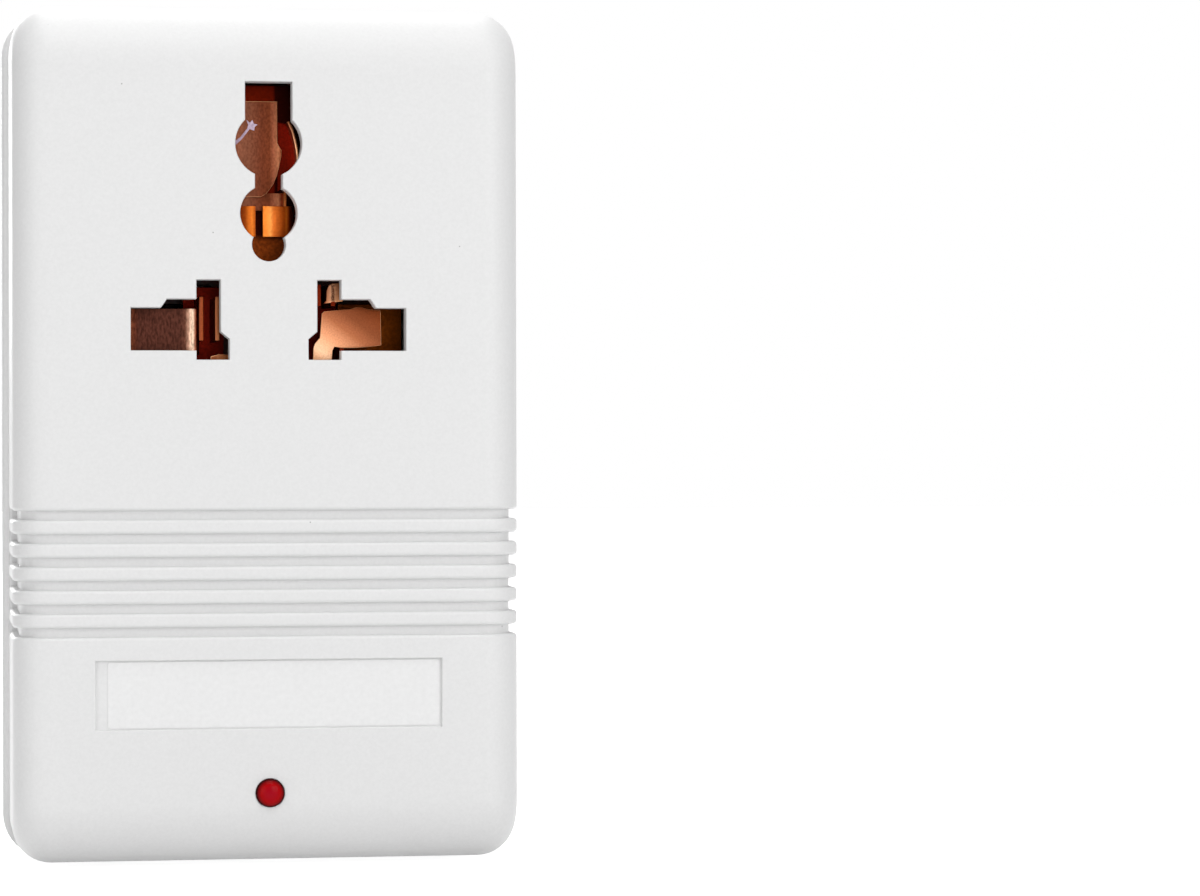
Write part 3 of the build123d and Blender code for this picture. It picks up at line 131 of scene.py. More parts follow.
def pick(piece, kind, test):
    """Open a piece with only the vertices, edges or faces selected that pass a test."""
    only(piece)
    bpy.ops.object.mode_set(mode="EDIT")
    bpy.ops.mesh.select_mode(type=kind)
    bpy.ops.mesh.select_all(action="DESELECT")
    form = bmesh.from_edit_mesh(piece.data)
    found = [part for part in {"VERT": form.verts, "EDGE": form.edges, "FACE": form.faces}[kind]
             if test(part)]
    for part in found:
        part.select_set(True)
    form.select_flush_mode()
    bmesh.update_edit_mesh(piece.data)
    return len(found)


def middle(edge):
    return (edge.verts[0].co + edge.verts[1].co) / 2


def near(a, b, gap=0.01):
    return abs(a - b) < gap


def spot(edge):
    """Where an edge is, to know it again after the next step."""
    return tuple(round(number, 3) + 0.0 for number in middle(edge))


# %% Round, cut, join and finish
def round_edges(piece, test, size, steps):
    """Round the edges that pass a test, and close the piece again."""
    count = pick(piece, "EDGE", test)
    if count:
        bpy.ops.mesh.bevel(offset=size, segments=steps, affect="EDGES")
    bpy.ops.object.mode_set(mode="OBJECT")
    return count


def combine(piece, tools, operation="DIFFERENCE"):
    """Cut tools out of a piece, or join them to it, and put the tools away."""
    for tool in tools:
        only(piece)
        change = piece.modifiers.new("change", "BOOLEAN")
        change.operation = operation
        change.object = tool
        change.solver = "EXACT"
        bpy.ops.object.modifier_apply(modifier=change.name)
        bpy.data.objects.remove(tool)


def soften(piece):
    """Shade smooth across angles under 40 degrees, with the flat faces kept flat."""
    only(piece)
    bpy.ops.object.shade_smooth_by_angle(angle=math.radians(40))
    weigh = piece.modifiers.new("weigh", "WEIGHTED_NORMAL")
    weigh.keep_sharp = True
    bpy.ops.object.modifier_apply(modifier=weigh.name)


def hand_over(piece, name, material, body, slot, *stands_for):
    """Bring a finished piece to metres, dress it, hang it on its body and hide the imported parts
    that it stands for.
    """
    only(piece)
    piece.name = name
    piece.data.name = name
    piece.scale = [MM * size for size in piece.scale]
    piece.location = [MM * place for place in piece.location]
    bpy.ops.object.transform_apply()
    if material:
        piece.data.materials.clear()
        piece.data.materials.append(material)
    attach(piece, body)
    if stands_for:
        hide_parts(*stands_for)
    print(name, len(piece.data.polygons), "faces")


# %% Simple starting shapes
def block(low, high):
    """A cube between two corners, with its place in its mesh."""
    bpy.ops.mesh.primitive_cube_add(size=1, location=[(a + b) / 2 for a, b in zip(low, high)])
    bpy.context.object.scale = [b - a for a, b in zip(low, high)]
    bpy.ops.object.transform_apply(location=True, rotation=False, scale=True)
    return bpy.context.object


def bar(x, z, half_x, half_z, low_y, high_y):
    """A block round a line along Y, between two depths."""
    return block((x - half_x, low_y, z - half_z), (x + half_x, high_y, z + half_z))


def rod(at, z, radius, low, high, sides=64, sideways=False):
    """A cylinder along Y at a place in X, or sideways along X at a place in Y."""
    half_way, quarter = (low + high) / 2, math.pi / 2
    bpy.ops.mesh.primitive_cylinder_add(
        vertices=sides, radius=radius, depth=high - low,
        location=(half_way, at, z) if sideways else (at, half_way, z),
        rotation=(0, quarter, 0) if sideways else (quarter, 0, 0))
    bpy.ops.object.transform_apply()
    return bpy.context.object


def drawn(points, height=0, **settings):
    """A curve of straight runs through some points, turned into a mesh."""
    drawing = bpy.data.curves.new("drawing", "CURVE")
    for name, value in settings.items():
        setattr(drawing, name, value)
    line = drawing.splines.new("POLY")
    line.points.add(len(points) - 1)
    line.use_cyclic_u = drawing.dimensions == "2D"
    for point, (a, b) in zip(line.points, points):
        point.co = (a, b, height, 1)
    piece = bpy.data.objects.new("drawing", drawing)
    bpy.context.scene.collection.objects.link(piece)
    only(piece)
    bpy.ops.object.convert(target="MESH")
    return bpy.context.object


def prism(outline, y_low, y_high):
    """A flat outline, filled and made thick along Y."""
    piece = drawn(outline, dimensions="2D", fill_mode="BOTH", extrude=(y_high - y_low) / 2)
    piece.rotation_euler = (math.pi / 2, 0, 0)
    piece.location = (0, (y_low + y_high) / 2, 0)
    bpy.ops.object.transform_apply()
    pick(piece, "VERT", lambda vertex: True)
    bpy.ops.mesh.remove_doubles(threshold=0.0005)
    bpy.ops.mesh.normals_make_consistent(inside=False)
    bpy.ops.object.mode_set(mode="OBJECT")
    return piece


# %% [markdown]
# ## The two shell halves
# The real halves are injection-moulded: a shallow box with large radii at the two ends, smaller
# ones round the sides, six grip grooves that run from side to side, and one half of a round bead
# at the parting line. A cube with its edges rounded in two passes gives the same radii that the
# mould has. The grooves are pressed in afterwards, so that they follow the rounded corners.

# %% Name the sizes of the halves
side_radius = 4.0
bead_proud, bead_half, bead_round = 0.7, 1.25, 0.6
groove_count, groove_width, groove_pitch = 6, 0.95, 2.45
groove_depth, groove_round = 0.85, 0.4
groove_top_z = floor_z + 37.15
groove_end = bead_half + 0.25
groove_levels = []
for index in range(groove_count):
    high = groove_top_z - index * groove_pitch
    groove_levels.append((high - groove_width, high))
print("grooves from", round(groove_levels[-1][0], 2), "to", groove_top_z)


# %% Round a block into one half
def rounded_half(side, depth, end_radius, inset):
    """One half of the case as a solid block, drawn in by an inset from all outer faces."""
    far_y = part_y + side * (depth - inset)
    near_y = part_y - (2 * side * overrun if inset else 0)
    half_x = case_width / 2 - inset
    low_z, high_z = floor_z + inset, top_z - inset
    half = block((-half_x, min(near_y, far_y), low_z), (half_x, max(near_y, far_y), high_z))
    round_edges(half, lambda edge: near(middle(edge).y, far_y) and near(middle(edge).x, 0),
                end_radius - inset, 12)
    round_edges(half, lambda edge: all(near(abs(v.co.x), half_x) for v in edge.verts)
                and near(edge.verts[0].co.x, edge.verts[1].co.x)
                and not near(middle(edge).y, near_y), side_radius - inset, 10)
    return half


# %% Press the grip grooves in
def press_grooves(half, side):
    """Cut the mesh at each groove's edges, then push the bands between them inwards."""
    cuts = [((0, 0, z), (0, 0, 1)) for pair in groove_levels for z in pair]
    cuts.append(((0, part_y + side * groove_end, 0), (0, 1, 0)))
    for place, direction in cuts:
        pick(half, "FACE", lambda face: True)
        bpy.ops.mesh.bisect(plane_co=place, plane_no=direction)

    def in_groove(face):
        centre = face.calc_center_median()
        return (side * (centre.y - part_y) > groove_end and abs(face.normal.z) < 0.5
                and any(low < centre.z < high for low, high in groove_levels))

    count = pick(half, "FACE", in_groove)
    form = bmesh.from_edit_mesh(half.data)
    lips = {spot(edge) for edge in form.edges if sum(face.select for face in edge.link_faces) == 1}
    bpy.ops.mesh.extrude_region_shrink_fatten(
        TRANSFORM_OT_shrink_fatten={"value": -groove_depth, "use_even_offset": True})
    round_edges(half, lambda edge: spot(edge) in lips, groove_round, 4)
    print("groove faces", count, "lip edges", len(lips))


# %% Score the flat faces
def score(piece, x_places, z_places):
    """Divide a form through the middles of its future holes, which keeps their outlines clean."""
    for place, direction in [((x, 0, 0), (1, 0, 0)) for x in x_places] + [
            ((0, 0, z), (0, 0, 1)) for z in z_places]:
        pick(piece, "FACE", lambda face: True)
        bpy.ops.mesh.bisect(plane_co=place, plane_no=direction)
    bpy.ops.object.mode_set(mode="OBJECT")
    return piece


# %% Roll the bead
def bead(side):
    """Half of the bead round the parting line, with its outer edge rounded."""
    x, low, high = case_width / 2 + bead_proud, floor_z - bead_proud, top_z + bead_proud
    far_y = part_y + side * bead_half
    ring = block((-x, min(part_y, far_y), low), (x, max(part_y, far_y), high))
    round_edges(ring, lambda edge: near(middle(edge).y, (part_y + far_y) / 2),
                side_radius + bead_proud, 10)
    round_edges(ring, lambda edge: all(near(v.co.y, far_y) for v in edge.verts), bead_round, 4)
    return ring


# %% Model the front half
def round_rims(piece, face_y, test, size):
    """Round the rims where a flat outer face at one depth turns into a hole or a sunk panel."""
    def is_rim(edge):
        if not all(near(vertex.co.y, face_y, 0.02) for vertex in edge.verts):
            return False
        facing = sorted(abs(face.normal.y) for face in edge.link_faces)
        return len(facing) == 2 and facing[0] < 0.1 and facing[1] > 0.9 and test(middle(edge))

    return round_edges(piece, is_rim, size, 3)


led_z = floor_z + 7.48
led_radius = 1.5
label_z = floor_z + 17.86
large_rise, small_rise, tip_rise = 19.5, 12.2, 8.9
boss_radius, boss_end_y = 3.6, -3.8
# Planes through the middles of the bosses and of the openings, across and upwards
front_lines = ((-19.5, -11, -6.3, 0, 6.3, 11, 19.5),
               (8.9, label_z, socket_z + 0.9, socket_z + small_rise, socket_z + large_rise, 81.9))
front = rounded_half(-1, front_depth, front_end_radius, 0)
press_grooves(front, -1)
score(front, *front_lines)
combine(front, [bead(-1)], "UNION")
combine(front, [score(rounded_half(-1, front_depth, front_end_radius, wall), *front_lines)])
combine(front, [rod(x, z, boss_radius, front_y + wall - overrun, boss_end_y, 48)
                for x, z in screw_places], "UNION")

# %% [markdown]
# ## The socket openings
# Flat and round pins of many kinds go in here, so each lower opening is a round-pin slot with a
# step, joined to an upright slot for flat pins, and the upper one is a chain of circles for earth
# pins. The stepped outline is drawn once as a flat curve and its points are mirrored; the
# chain is cut with rods. The rims of the real openings are only just broken, by 0.15 mm.

# %% Cut the front openings
half_outline = [
    (-14.45, -2.24), (-14.45, 2.24), (-11.30, 2.24), (-10.66, 3.16), (-7.6, 3.16), (-7.6, 5.18),
    (-5.08, 5.18), (-5.08, -0.26), (-4.15, -1.04), (-4.15, -3.2), (-7.6, -3.2), (-7.6, -2.24),
]
left_loop = [(x, socket_z + z) for x, z in half_outline]
right_loop = [(-x, z) for x, z in reversed(left_loop)]
deep, out = front_y + wall + overrun, front_y - overrun
stem_half, stem_top, neck_half = 2.475, 26, 1.45
large_radius, small_radius, tip_radius = 3.5, 3.0, 1.77
combine(front, [
    prism(left_loop, out, deep),
    prism(right_loop, out, deep),
    block((-stem_half, out, socket_z + large_rise), (stem_half, deep, socket_z + stem_top)),
    block((-neck_half, out, socket_z + small_rise), (neck_half, deep, socket_z + large_rise)),
    rod(0, socket_z + large_rise, large_radius, out, deep, 96),
    rod(0, socket_z + small_rise, small_radius, out, deep, 96),
    rod(0, socket_z + tip_rise, tip_radius, out, deep, 64),
])
led_gap = 0.015
label_half_width, label_half_height, label_deep = 18.175, 3.61, 0.45
combine(front, [
    rod(0, led_z, led_radius + led_gap, out, deep, 64),
    bar(0, label_z, label_half_width, label_half_height, out, front_y + label_deep),
])
socket_rim, label_rim, lamp_rim = 0.15, 0.12, 0.1
print("rounded rims",
      round_rims(front, front_y, lambda p: p.z > socket_z - 8 and abs(p.x) < 20, socket_rim),
      round_rims(front, front_y, lambda p: abs(p.z - label_z) < 4 and abs(p.x) < 20, label_rim),
      round_rims(front, front_y, lambda p: abs(p.z - led_z) < 2 and abs(p.x) < 2, lamp_rim))

# %% [markdown]
# ## The back half
# The back half is shallower, with the same grooves. Screws sit at the bottom of four deep round
# recesses, whose walls are towers inside the case. Two panels are sunk by 0.2 mm: one round the
# blades, one for the marks beside the voltage selector. The selector's opening has wide sloping
# rims, so that a fingertip or a screwdriver reaches the knob.

# %% Model the back half
recess_radius, recess_floor_y = 3.05, back_y - 10.5
tower_radius, tower_floor = 4.35, 2.0
bore_radius, bore_deep = 1.65, 3.0
panel_y = back_y - 0.2
blade_panel_half, marks_panel_half = (12.05, 5.35), (12.5, 3.1)
slot_half, window_half = (0.9, 3.325), (4.95, 2.35)
# Planes through the middles of the recesses, the slots and the window
back_lines = ((-19.4, -6.3, 0, 6.3, 19.4), (9.0, blade_z, selector_z, 82.0))

back = rounded_half(1, back_depth, back_end_radius, 0)
press_grooves(back, 1)
score(back, *back_lines)
combine(back, [bead(1)], "UNION")
combine(back, [score(rounded_half(1, back_depth, back_end_radius, wall), *back_lines)])
combine(back, [rod(x, z, tower_radius, recess_floor_y - tower_floor, back_y - overrun, 64)
               for x, z in screw_places], "UNION")
combine(back, [rod(x, z, recess_radius, recess_floor_y, back_y + overrun, 96)
               for x, z in screw_places])
combine(back, [rod(x, z, bore_radius, recess_floor_y - bore_deep, back_y, 48)
               for x, z in screw_places])
inside_y, outside_y = back_y - wall - overrun, back_y + overrun
combine(back, [
    score(bar(0, z, *half_sizes, panel_y, outside_y), *back_lines)
    for half_sizes, z in ((blade_panel_half, blade_z), (marks_panel_half, selector_z))])
combine(back, [bar(x, blade_z, *slot_half, inside_y, outside_y) for x in (-blade_x, blade_x)])
combine(back, [bar(0, selector_z, *window_half, inside_y, outside_y)])

recess_rim, panel_rim, window_rim = 0.14, 0.12, 0.5
print("rounded rims",
      round_rims(back, back_y, lambda p: abs(p.x) > 15, recess_rim),
      round_rims(back, back_y, lambda p: abs(p.x) < 14, panel_rim),
      round_rims(back, panel_y, lambda p: abs(p.x) < 5.1 and abs(p.z - selector_z) < 2.6,
                 window_rim))

# %% [markdown]
# ## Finishes
# A finish is built from what the real surface is. Each one starts from two close colours, because
# nothing real is one flat colour, a grain whose size is given in millimetres, and a roughness and
# a bump that follow the same grain. Colours are written as they look on a screen and turned to
# the linear values that a renderer counts in.

# %% Colours and nodes
def linear(code):
    """Linear colour from an sRGB hex value."""
    parts = [int(code[place:place + 2], 16) / 255 for place in (1, 3, 5)]
    return [c / 12.92 if c <= 0.04045 else ((c + 0.055) / 1.055) ** 2.4 for c in parts] + [1]


def add(tree, kind, inputs=None, **settings):
    """Add one node with its settings, and give its inputs a value or a link."""
    new = tree.nodes.new("ShaderNode" + kind)
    for name, value in settings.items():
        setattr(new, name, value)
    for name, value in (inputs or {}).items():
        if isinstance(value, bpy.types.NodeSocket):
            tree.links.new(value, new.inputs[name])
        else:
            new.inputs[name].default_value = value
    return new


def grained(name, grain, stretch, detail, rough, bump):
    """A material whose roughness and bump follow one grain, given in millimetres."""
    material = bpy.data.materials.new(name)
    material.use_nodes = True
    tree = material.node_tree
    shader = tree.nodes["Principled BSDF"]
    place = add(tree, "TexCoord")
    scaled = add(tree, "Mapping", {"Vector": place.outputs["Object"], "Scale": stretch})
    pattern = add(tree, "TexNoise", {
        "Vector": scaled.outputs["Vector"], "Scale": 1 / (grain * MM), "Detail": detail})
    gloss = add(tree, "MapRange", {
        "Value": pattern.outputs["Fac"], "From Min": 0.25, "From Max": 0.75,
        "To Min": rough[0], "To Max": rough[1]})
    relief = add(tree, "Bump", {
        "Height": pattern.outputs["Fac"], "Strength": 1.0, "Distance": bump * MM})
    tree.links.new(gloss.outputs["Result"], shader.inputs["Roughness"])
    tree.links.new(relief.outputs["Normal"], shader.inputs["Normal"])
    return material, tree, shader, pattern


def finish(name, dark, light, grain, rough, metallic=0.0, bump=0.01, stretch=(1, 1, 1),
           **sockets):
    """A finish from two colours, a range of roughness, and a grain and bump in millimetres."""
    material, tree, shader, pattern = grained(name, grain, stretch, 4.0, rough, bump)
    colours = add(tree, "ValToRGB", {"Fac": pattern.outputs["Fac"]})
    for stop, at, code in zip(colours.color_ramp.elements, (0.3, 0.7), (dark, light)):
        stop.position, stop.color = at, linear(code)
    tree.links.new(colours.outputs["Color"], shader.inputs["Base Color"])
    shader.inputs["Metallic"].default_value = metallic
    for socket, value in sockets.items():
        shader.inputs[socket.replace("_", " ")].default_value = value
    return material


# %% [markdown]
# ### White ABS
# The case is injection-moulded ABS, with the fine even texture of a spark-eroded mould. To the
# eye it is a soft white with a broad dull highlight on its rounded edges, and here and there a
# grain of dust, about 0.1 mm wide, caught in the texture.

# %% White ABS
white_abs = finish("moulded_white_abs", "#E6E6E6", "#EAEAEA", grain=0.35, rough=(0.38, 0.46),
                   bump=0.006)
tree = white_abs.node_tree
speck_spacing, speck_size = 5.0, 0.1
place = add(tree, "TexCoord")
cells = add(tree, "TexVoronoi", {
    "Vector": place.outputs["Object"], "Scale": 1 / (speck_spacing * MM)})
speck = add(tree, "MapRange", {
    "Value": cells.outputs["Distance"], "From Min": 0.5 * speck_size / speck_spacing,
    "From Max": speck_size / speck_spacing, "To Min": 0.6, "To Max": 0.0})
dusty = add(tree, "Mix", {
    0: speck.outputs["Result"], 6: tree.nodes["Color Ramp"].outputs["Color"],
    7: linear("#6A6866")}, data_type="RGBA")
tree.links.new(dusty.outputs[2], tree.nodes["Principled BSDF"].inputs["Base Color"])

# %% [markdown]
# ### Phosphor bronze
# The contacts are stamped and bent from cold-rolled phosphor bronze sheet, 0.45 mm thick. Handling
# and heat have tarnished it unevenly, brown and mauve on the flats. The colour runs along the
# strip through a few places that are given in millimetres, which also paint highlights where it is
# bent or curled and deep red shade in the hollows, and a fine mottling in the rolling direction
# darkens it.

# %% Phosphor bronze with its tarnish, painted highlights and painted shade
def tarnish_and_painted_light(name, way, places, darkest, grain, streaks=(1, 1, 1)):
    """Bronze whose tarnish, painted highlights and painted shade change along one way; places are
    pairs of millimetres and colour.
    """
    material, tree, shader, pattern = grained(name, grain, streaks, 5.0, (0.45, 0.3), 0.002)
    place = tree.nodes["Texture Coordinate"]
    along = add(tree, "VectorMath", {0: place.outputs["Object"], 1: way}, operation="DOT_PRODUCT")
    first, last = places[0][0], places[-1][0]
    share = add(tree, "MapRange", {
        "Value": along.outputs["Value"], "From Min": first * MM, "From Max": last * MM})
    colours = add(tree, "ValToRGB", {"Fac": share.outputs["Result"]})
    stops = colours.color_ramp.elements
    stops[0].color, stops[1].color = linear(places[0][1]), linear(places[-1][1])
    for at, code in places[1:-1]:
        stops.new((at - first) / (last - first)).color = linear(code)
    shade = add(tree, "ValToRGB", {"Fac": pattern.outputs["Fac"]})
    shade.color_ramp.elements[0].position, shade.color_ramp.elements[1].position = 0.35, 0.65
    shade.color_ramp.elements[0].color = (darkest, darkest, darkest, 1)
    tint = add(tree, "Mix", {0: 1.0, 6: colours.outputs["Color"], 7: shade.outputs["Color"]},
               data_type="RGBA", blend_type="MULTIPLY")
    tree.links.new(tint.outputs[2], shader.inputs["Base Color"])
    shader.inputs["Metallic"].default_value = 1.0
    return material


across, upwards = (1, 0, 0), (0, 0, 1)
# The left contact's flat: mottled mauve brown, with a painted highlight along its bend
line_bronze = tarnish_and_painted_light("tarnished_bronze_line_painted_highlight", across, [
    (-14.3, "#8A4E34"), (-13.9, "#663424"), (-13.4, "#563026"), (-9.0, "#543026"),
    (-8.5, "#684032"), (-8.15, "#C09078"), (-8.0, "#FFD2B4"), (-7.7, "#FFDCBE"), (-7.5, "#A86A50"),
    (-7.2, "#6E2C18")], 0.45, 0.22, (1, 1, 0.4))
# The right contact's plate: a pale warm painted highlight low down, darker and browner towards its
# far corner
neutral_bronze = tarnish_and_painted_light("tarnished_bronze_neutral_painted_highlight", (0.6, 0, 0.8), [
    (46.0, "#D89A70"), (47.2, "#FFC9A0"), (49.0, "#E09A70"), (50.6, "#A86442"), (52.0, "#84482C"),
    (54.0, "#7C3C1E")], 0.8, 0.16)
# The earth plate: an even dull brown, with a warm painted highlight near its right edge
earth_bronze = tarnish_and_painted_light("tarnished_bronze_earth_painted_highlight", across, [
    (-3.2, "#8E5640"), (-1.9, "#7C4A36"), (-0.3, "#6C3622"), (0.5, "#6E3620"), (0.95, "#96543A"),
    (1.45, "#B06E4C"), (1.8, "#7A3018")], 0.66, 0.2, (1, 1, 0.6))
# The slit band: orange, with bright painted highlights on both sides of the slit
band_bronze = tarnish_and_painted_light("bronze_band_painted_highlights", across, [
    (-2.9, "#8A3410"), (-2.1, "#A84814"), (-1.75, "#E07024"), (-1.35, "#F58430"),
    (-1.0, "#A84814"), (-0.2, "#D8742A"), (0.2, "#EE8636"), (0.6, "#F09648"), (0.95, "#D86E2A"),
    (1.7, "#BC561A"), (2.1, "#A6460E"), (2.3, "#C4621C"), (2.5, "#A0420E"), (3.2, "#76280A")],
    0.85, 0.3)
# The hollow behind the band: painted shade, dark red with a lighter brown step
hollow_painted_shade_bronze = tarnish_and_painted_light("hollow_painted_shade_bronze", upwards, [
    (54.0, "#4A1408"), (60.5, "#4A1408"), (61.5, "#7E3812"), (66.5, "#7E3812"), (67.2, "#3A1008"),
    (70.0, "#3A1008")], 0.6, 0.3)
# The earth spine: deep red, painted near black on its right as shade
spine_bronze = tarnish_and_painted_light("spine_bronze", across, [
    (-4.2, "#741A06"), (1.1, "#741A06"), (1.35, "#340A05"), (4.2, "#280704")], 0.8, 0.3)
# Leaves and tails: a dull dark red, the painted shade they lie in
leaf_bronze = tarnish_and_painted_light("leaf_bronze", upwards, [(53.0, "#6E240E"), (80.0, "#7A160A")], 0.7, 0.2)
# The fork's ledges: brown steps of changing warmth
ledge_bronze = tarnish_and_painted_light("ledge_bronze", across, [
    (-7.3, "#8A4830"), (-6.6, "#964624"), (-6.2, "#7A2C14"), (-5.5, "#A05A38"), (-5.0, "#B06E48"),
    (-3.9, "#A0582E")], 0.75, 0.2)
# Sheared edges: thin bright lines of bare metal, painted brighter as a highlight
bright_bronze = tarnish_and_painted_light("bronze_edge_painted_highlight", upwards, [(53.0, "#E0A478"), (84.0, "#D09468")],
                          0.8, 0.3)
# The curved earth spring: a thin light arc, a painted highlight brightest in its lower half
spring_bronze = tarnish_and_painted_light("bronze_spring_painted_highlight", upwards, [
    (72.0, "#D89468"), (75.0, "#FFC090"), (79.5, "#A05A38")], 0.85, 0.3)
# A splash of solder on the earth plate: a pale mauve star
smear_tin = tarnish_and_painted_light("splashed_tin", upwards, [(76.0, "#8E7888"), (80.0, "#C4B2C4")], 0.7, 0.3)
# The curled end of the right contact: light, a painted highlight on the curl
curl_bronze = tarnish_and_painted_light("bronze_curl_painted_highlight", across, [
    (6.2, "#6A2E1A"), (6.5, "#B47452"), (6.8, "#D09470"), (7.8, "#BC8058")], 0.8, 0.3)
# The wing behind the right plate: an even olive brown
wing_bronze = tarnish_and_painted_light("brown_bronze_wing", across, [(8.0, "#6A2E08"), (15.0, "#74380C")],
                        0.7, 0.3)
# Whatever lies deepest in the lower openings: almost black red, painted shade
deep_painted_shade_bronze = tarnish_and_painted_light("deep_painted_shade_bronze", upwards, [(53.0, "#7A1A0E"), (84.0, "#80200E")], 0.7, 0.3)

# %% [markdown]
# ### Tin and nickel
# The blades are brass with a dull nickel plating that has tarnished to a mauve grey with small
# darker spots.

# %% Metals of the blades, screws and core
# Pins and terminals: silvery grey with a soft sheen
tinned_copper = finish("tinned_copper", "#A9A49C", "#CDC9C0", 0.4, (0.3, 0.42), 1.0, 0.003)
# Blades: a mauve grey that hardly mirrors
nickel_blade = finish("dull_nickel_plate", "#A8999E", "#BFB0B5", 0.5, (0.34, 0.5), 1.0, 0.004)
# The selector's frame: brighter, with a clear glint on its bends
bright_nickel = finish("bright_nickel_plate", "#B49FA2", "#CFC0C2", 0.5, (0.22, 0.32), 1.0, 0.002)
# Screws and washers: pale cold grey
zinc_steel = finish("zinc_plated_steel", "#9FA09C", "#C4C5C0", 0.6, (0.25, 0.4), 1.0, 0.003)
# The stacks of the core: dark grey with fine lines of sheet
silicon_steel = finish("rolled_silicon_steel", "#4E4F50", "#6B6C6C", 0.5, (0.35, 0.55), 1.0, 0.01,
                       stretch=(1, 12, 1))
# Leads: light even grey
tinned_wire = finish("drawn_tinned_wire", "#B5B3AD", "#D2D0CA", 0.3, (0.25, 0.35), 1.0, 0.002)
# Windings: shiny red brown with the lines of the turns
enamelled_copper = finish("enamelled_copper_wire", "#7A3416", "#B5602B", 0.35, (0.2, 0.32), 0.9,
                          0.03, stretch=(0.05, 0.05, 1))

# %% [markdown]
# ### Moulded, wound and printed things
# The rest are insulating parts: phenolic board, nylon, tape, ceramic, sleeves of PVC, the red
# epoxy of the lamp and a paper sticker.

# %% Plastics, tape, ceramic and paper
# Contact plate: dark red brown board
phenolic = finish("phenolic_board", "#3A1408", "#5A2410", 0.6, (0.35, 0.5), 0.0, 0.01)
# Bobbin and clamp: milky cream
nylon = finish("natural_nylon", "#CFC6AE", "#DED6C0", 0.8, (0.4, 0.5), 0.0, 0.006)
# Knob: near black with grey light along its ribs
black_nylon = finish("black_nylon", "#0C0C0D", "#1B1B1C", 0.3, (0.35, 0.5), 0.0, 0.006)
# Tape round the windings: glossy amber
tape = finish("polyester_tape", "#B98A1E", "#D6A93A", 1.2, (0.18, 0.3), 0.0, 0.01)
# Thermal fuse: off-white glaze
ceramic = finish("fuse_ceramic", "#D8D2C2", "#E9E4D6", 0.5, (0.3, 0.4), 0.0, 0.006)
# Lamp: deep clear red, painted darker towards its rim as shade, under a thin gloss
red_epoxy = finish("red_lamp_epoxy", "#A00016", "#B0021C", 0.8, (0.12, 0.16), 0.0, 0.001,
                   Specular_IOR_Level=0.0, Coat_Weight=0.1, Coat_Roughness=0.06)
tree = red_epoxy.node_tree
place = add(tree, "TexCoord")
axis = add(tree, "Mapping", {"Vector": place.outputs["Object"], "Scale": (1, 0, 1),
                             "Location": (0, 0, -led_z * MM)})
away = add(tree, "VectorMath", {0: axis.outputs["Vector"]}, operation="LENGTH")
lamp_edge = led_radius + 0.05
share = add(tree, "MapRange", {"Value": away.outputs["Value"], "From Max": lamp_edge * MM})
# The ramp paints the dome darker towards its rim: painted shade
depth = add(tree, "ValToRGB", {"Fac": share.outputs["Result"]})
stops = depth.color_ramp.elements
stops[0].color, stops[1].color = linear("#A8041C"), linear("#1E0002")
for at, code in ((0.35, "#AC0216"), (0.62, "#B00006"), (0.8, "#8C0408"), (0.9, "#4A0106")):
    stops.new(at).color = linear(code)
tree.links.new(depth.outputs["Color"], tree.nodes["Principled BSDF"].inputs["Base Color"])
# Resistor: glossy tan
resistor_lacquer = finish("resistor_lacquer", "#B8925A", "#CDAA74", 0.7, (0.25, 0.35), 0.0, 0.01)
# Diode: dull black
diode_epoxy = finish("diode_epoxy", "#131313", "#202020", 0.4, (0.4, 0.5), 0.0, 0.008)
# Wires: sleeves of plain glossy colour
sleeves = {
    colour: finish("pvc_sleeve_" + colour, dark, light, 0.9, (0.32, 0.42), 0.0, 0.004)
    for colour, dark, light in (
        ("black", "#121212", "#1E1E1E"), ("brown", "#4A2413", "#5C3018"),
        ("blue", "#12357A", "#1B4595"), ("yellow", "#C79A0E", "#DDB024"),
        ("red", "#9C1414", "#B32020"))
}
# Label: satin white, a shade lighter than the case
label_white = finish("satin_label_film", "#ECECEC", "#F1F1F1", 0.5, (0.4, 0.5), 0.0, 0.002)
# Sticker: faintly violet coated paper
sticker_paper = finish("coated_sticker_paper", "#E2DDE6", "#E9E5EC", 0.3, (0.42, 0.55), 0.0, 0.003)

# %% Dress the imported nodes
dressing = {
    phenolic: ["contact_plate"],
    line_bronze: ["line_contact"],
    neutral_bronze: ["neutral_contact"],
    earth_bronze: ["earth_contact"],
    zinc_steel: ["case_screws", "contact_plate_screws", "blade_clamp_screws", "core_screws",
                 "core_washers", "selector_screws"],
    nickel_blade: ["line_blade", "neutral_blade"],
    nylon: ["blade_clamp", "bobbin"],
    silicon_steel: ["e_laminations", "i_laminations"],
    tinned_copper: ["bobbin_pins", "selector_terminals"],
    enamelled_copper: ["inner_winding", "outer_winding"],
    tape: ["interlayer_tape", "outer_tape"],
    ceramic: ["thermal_fuse"],
    black_nylon: ["selector_slider", "selector_base"],
    bright_nickel: ["selector_bridges", "selector_frame"],
    red_epoxy: ["indicator_led"],
    tinned_wire: ["led_leads"],
    resistor_lacquer: ["led_resistor"],
    diode_epoxy: ["led_diode"],
    sleeves["black"]: ["selector_jumpers", "fuse_wire", "selector_input_wire"],
    sleeves["brown"]: ["output_line_wire", "led_line_wire"],
    sleeves["blue"]: ["input_neutral_wire", "output_neutral_wire", "led_neutral_wire"],
    sleeves["yellow"]: ["tap_110_wire"],
    sleeves["red"]: ["tap_220_wire"],
    sticker_paper: ["inspection_sticker"],
    white_abs: ["front_shell", "back_shell"],
}
for material, names in dressing.items():
    for name in names:
        nodes[name].data.materials.clear()
        nodes[name].data.materials.append(material)
undressed = set(nodes) - {name for names in dressing.values() for name in names}
print("nodes without a finish:", sorted(undressed))


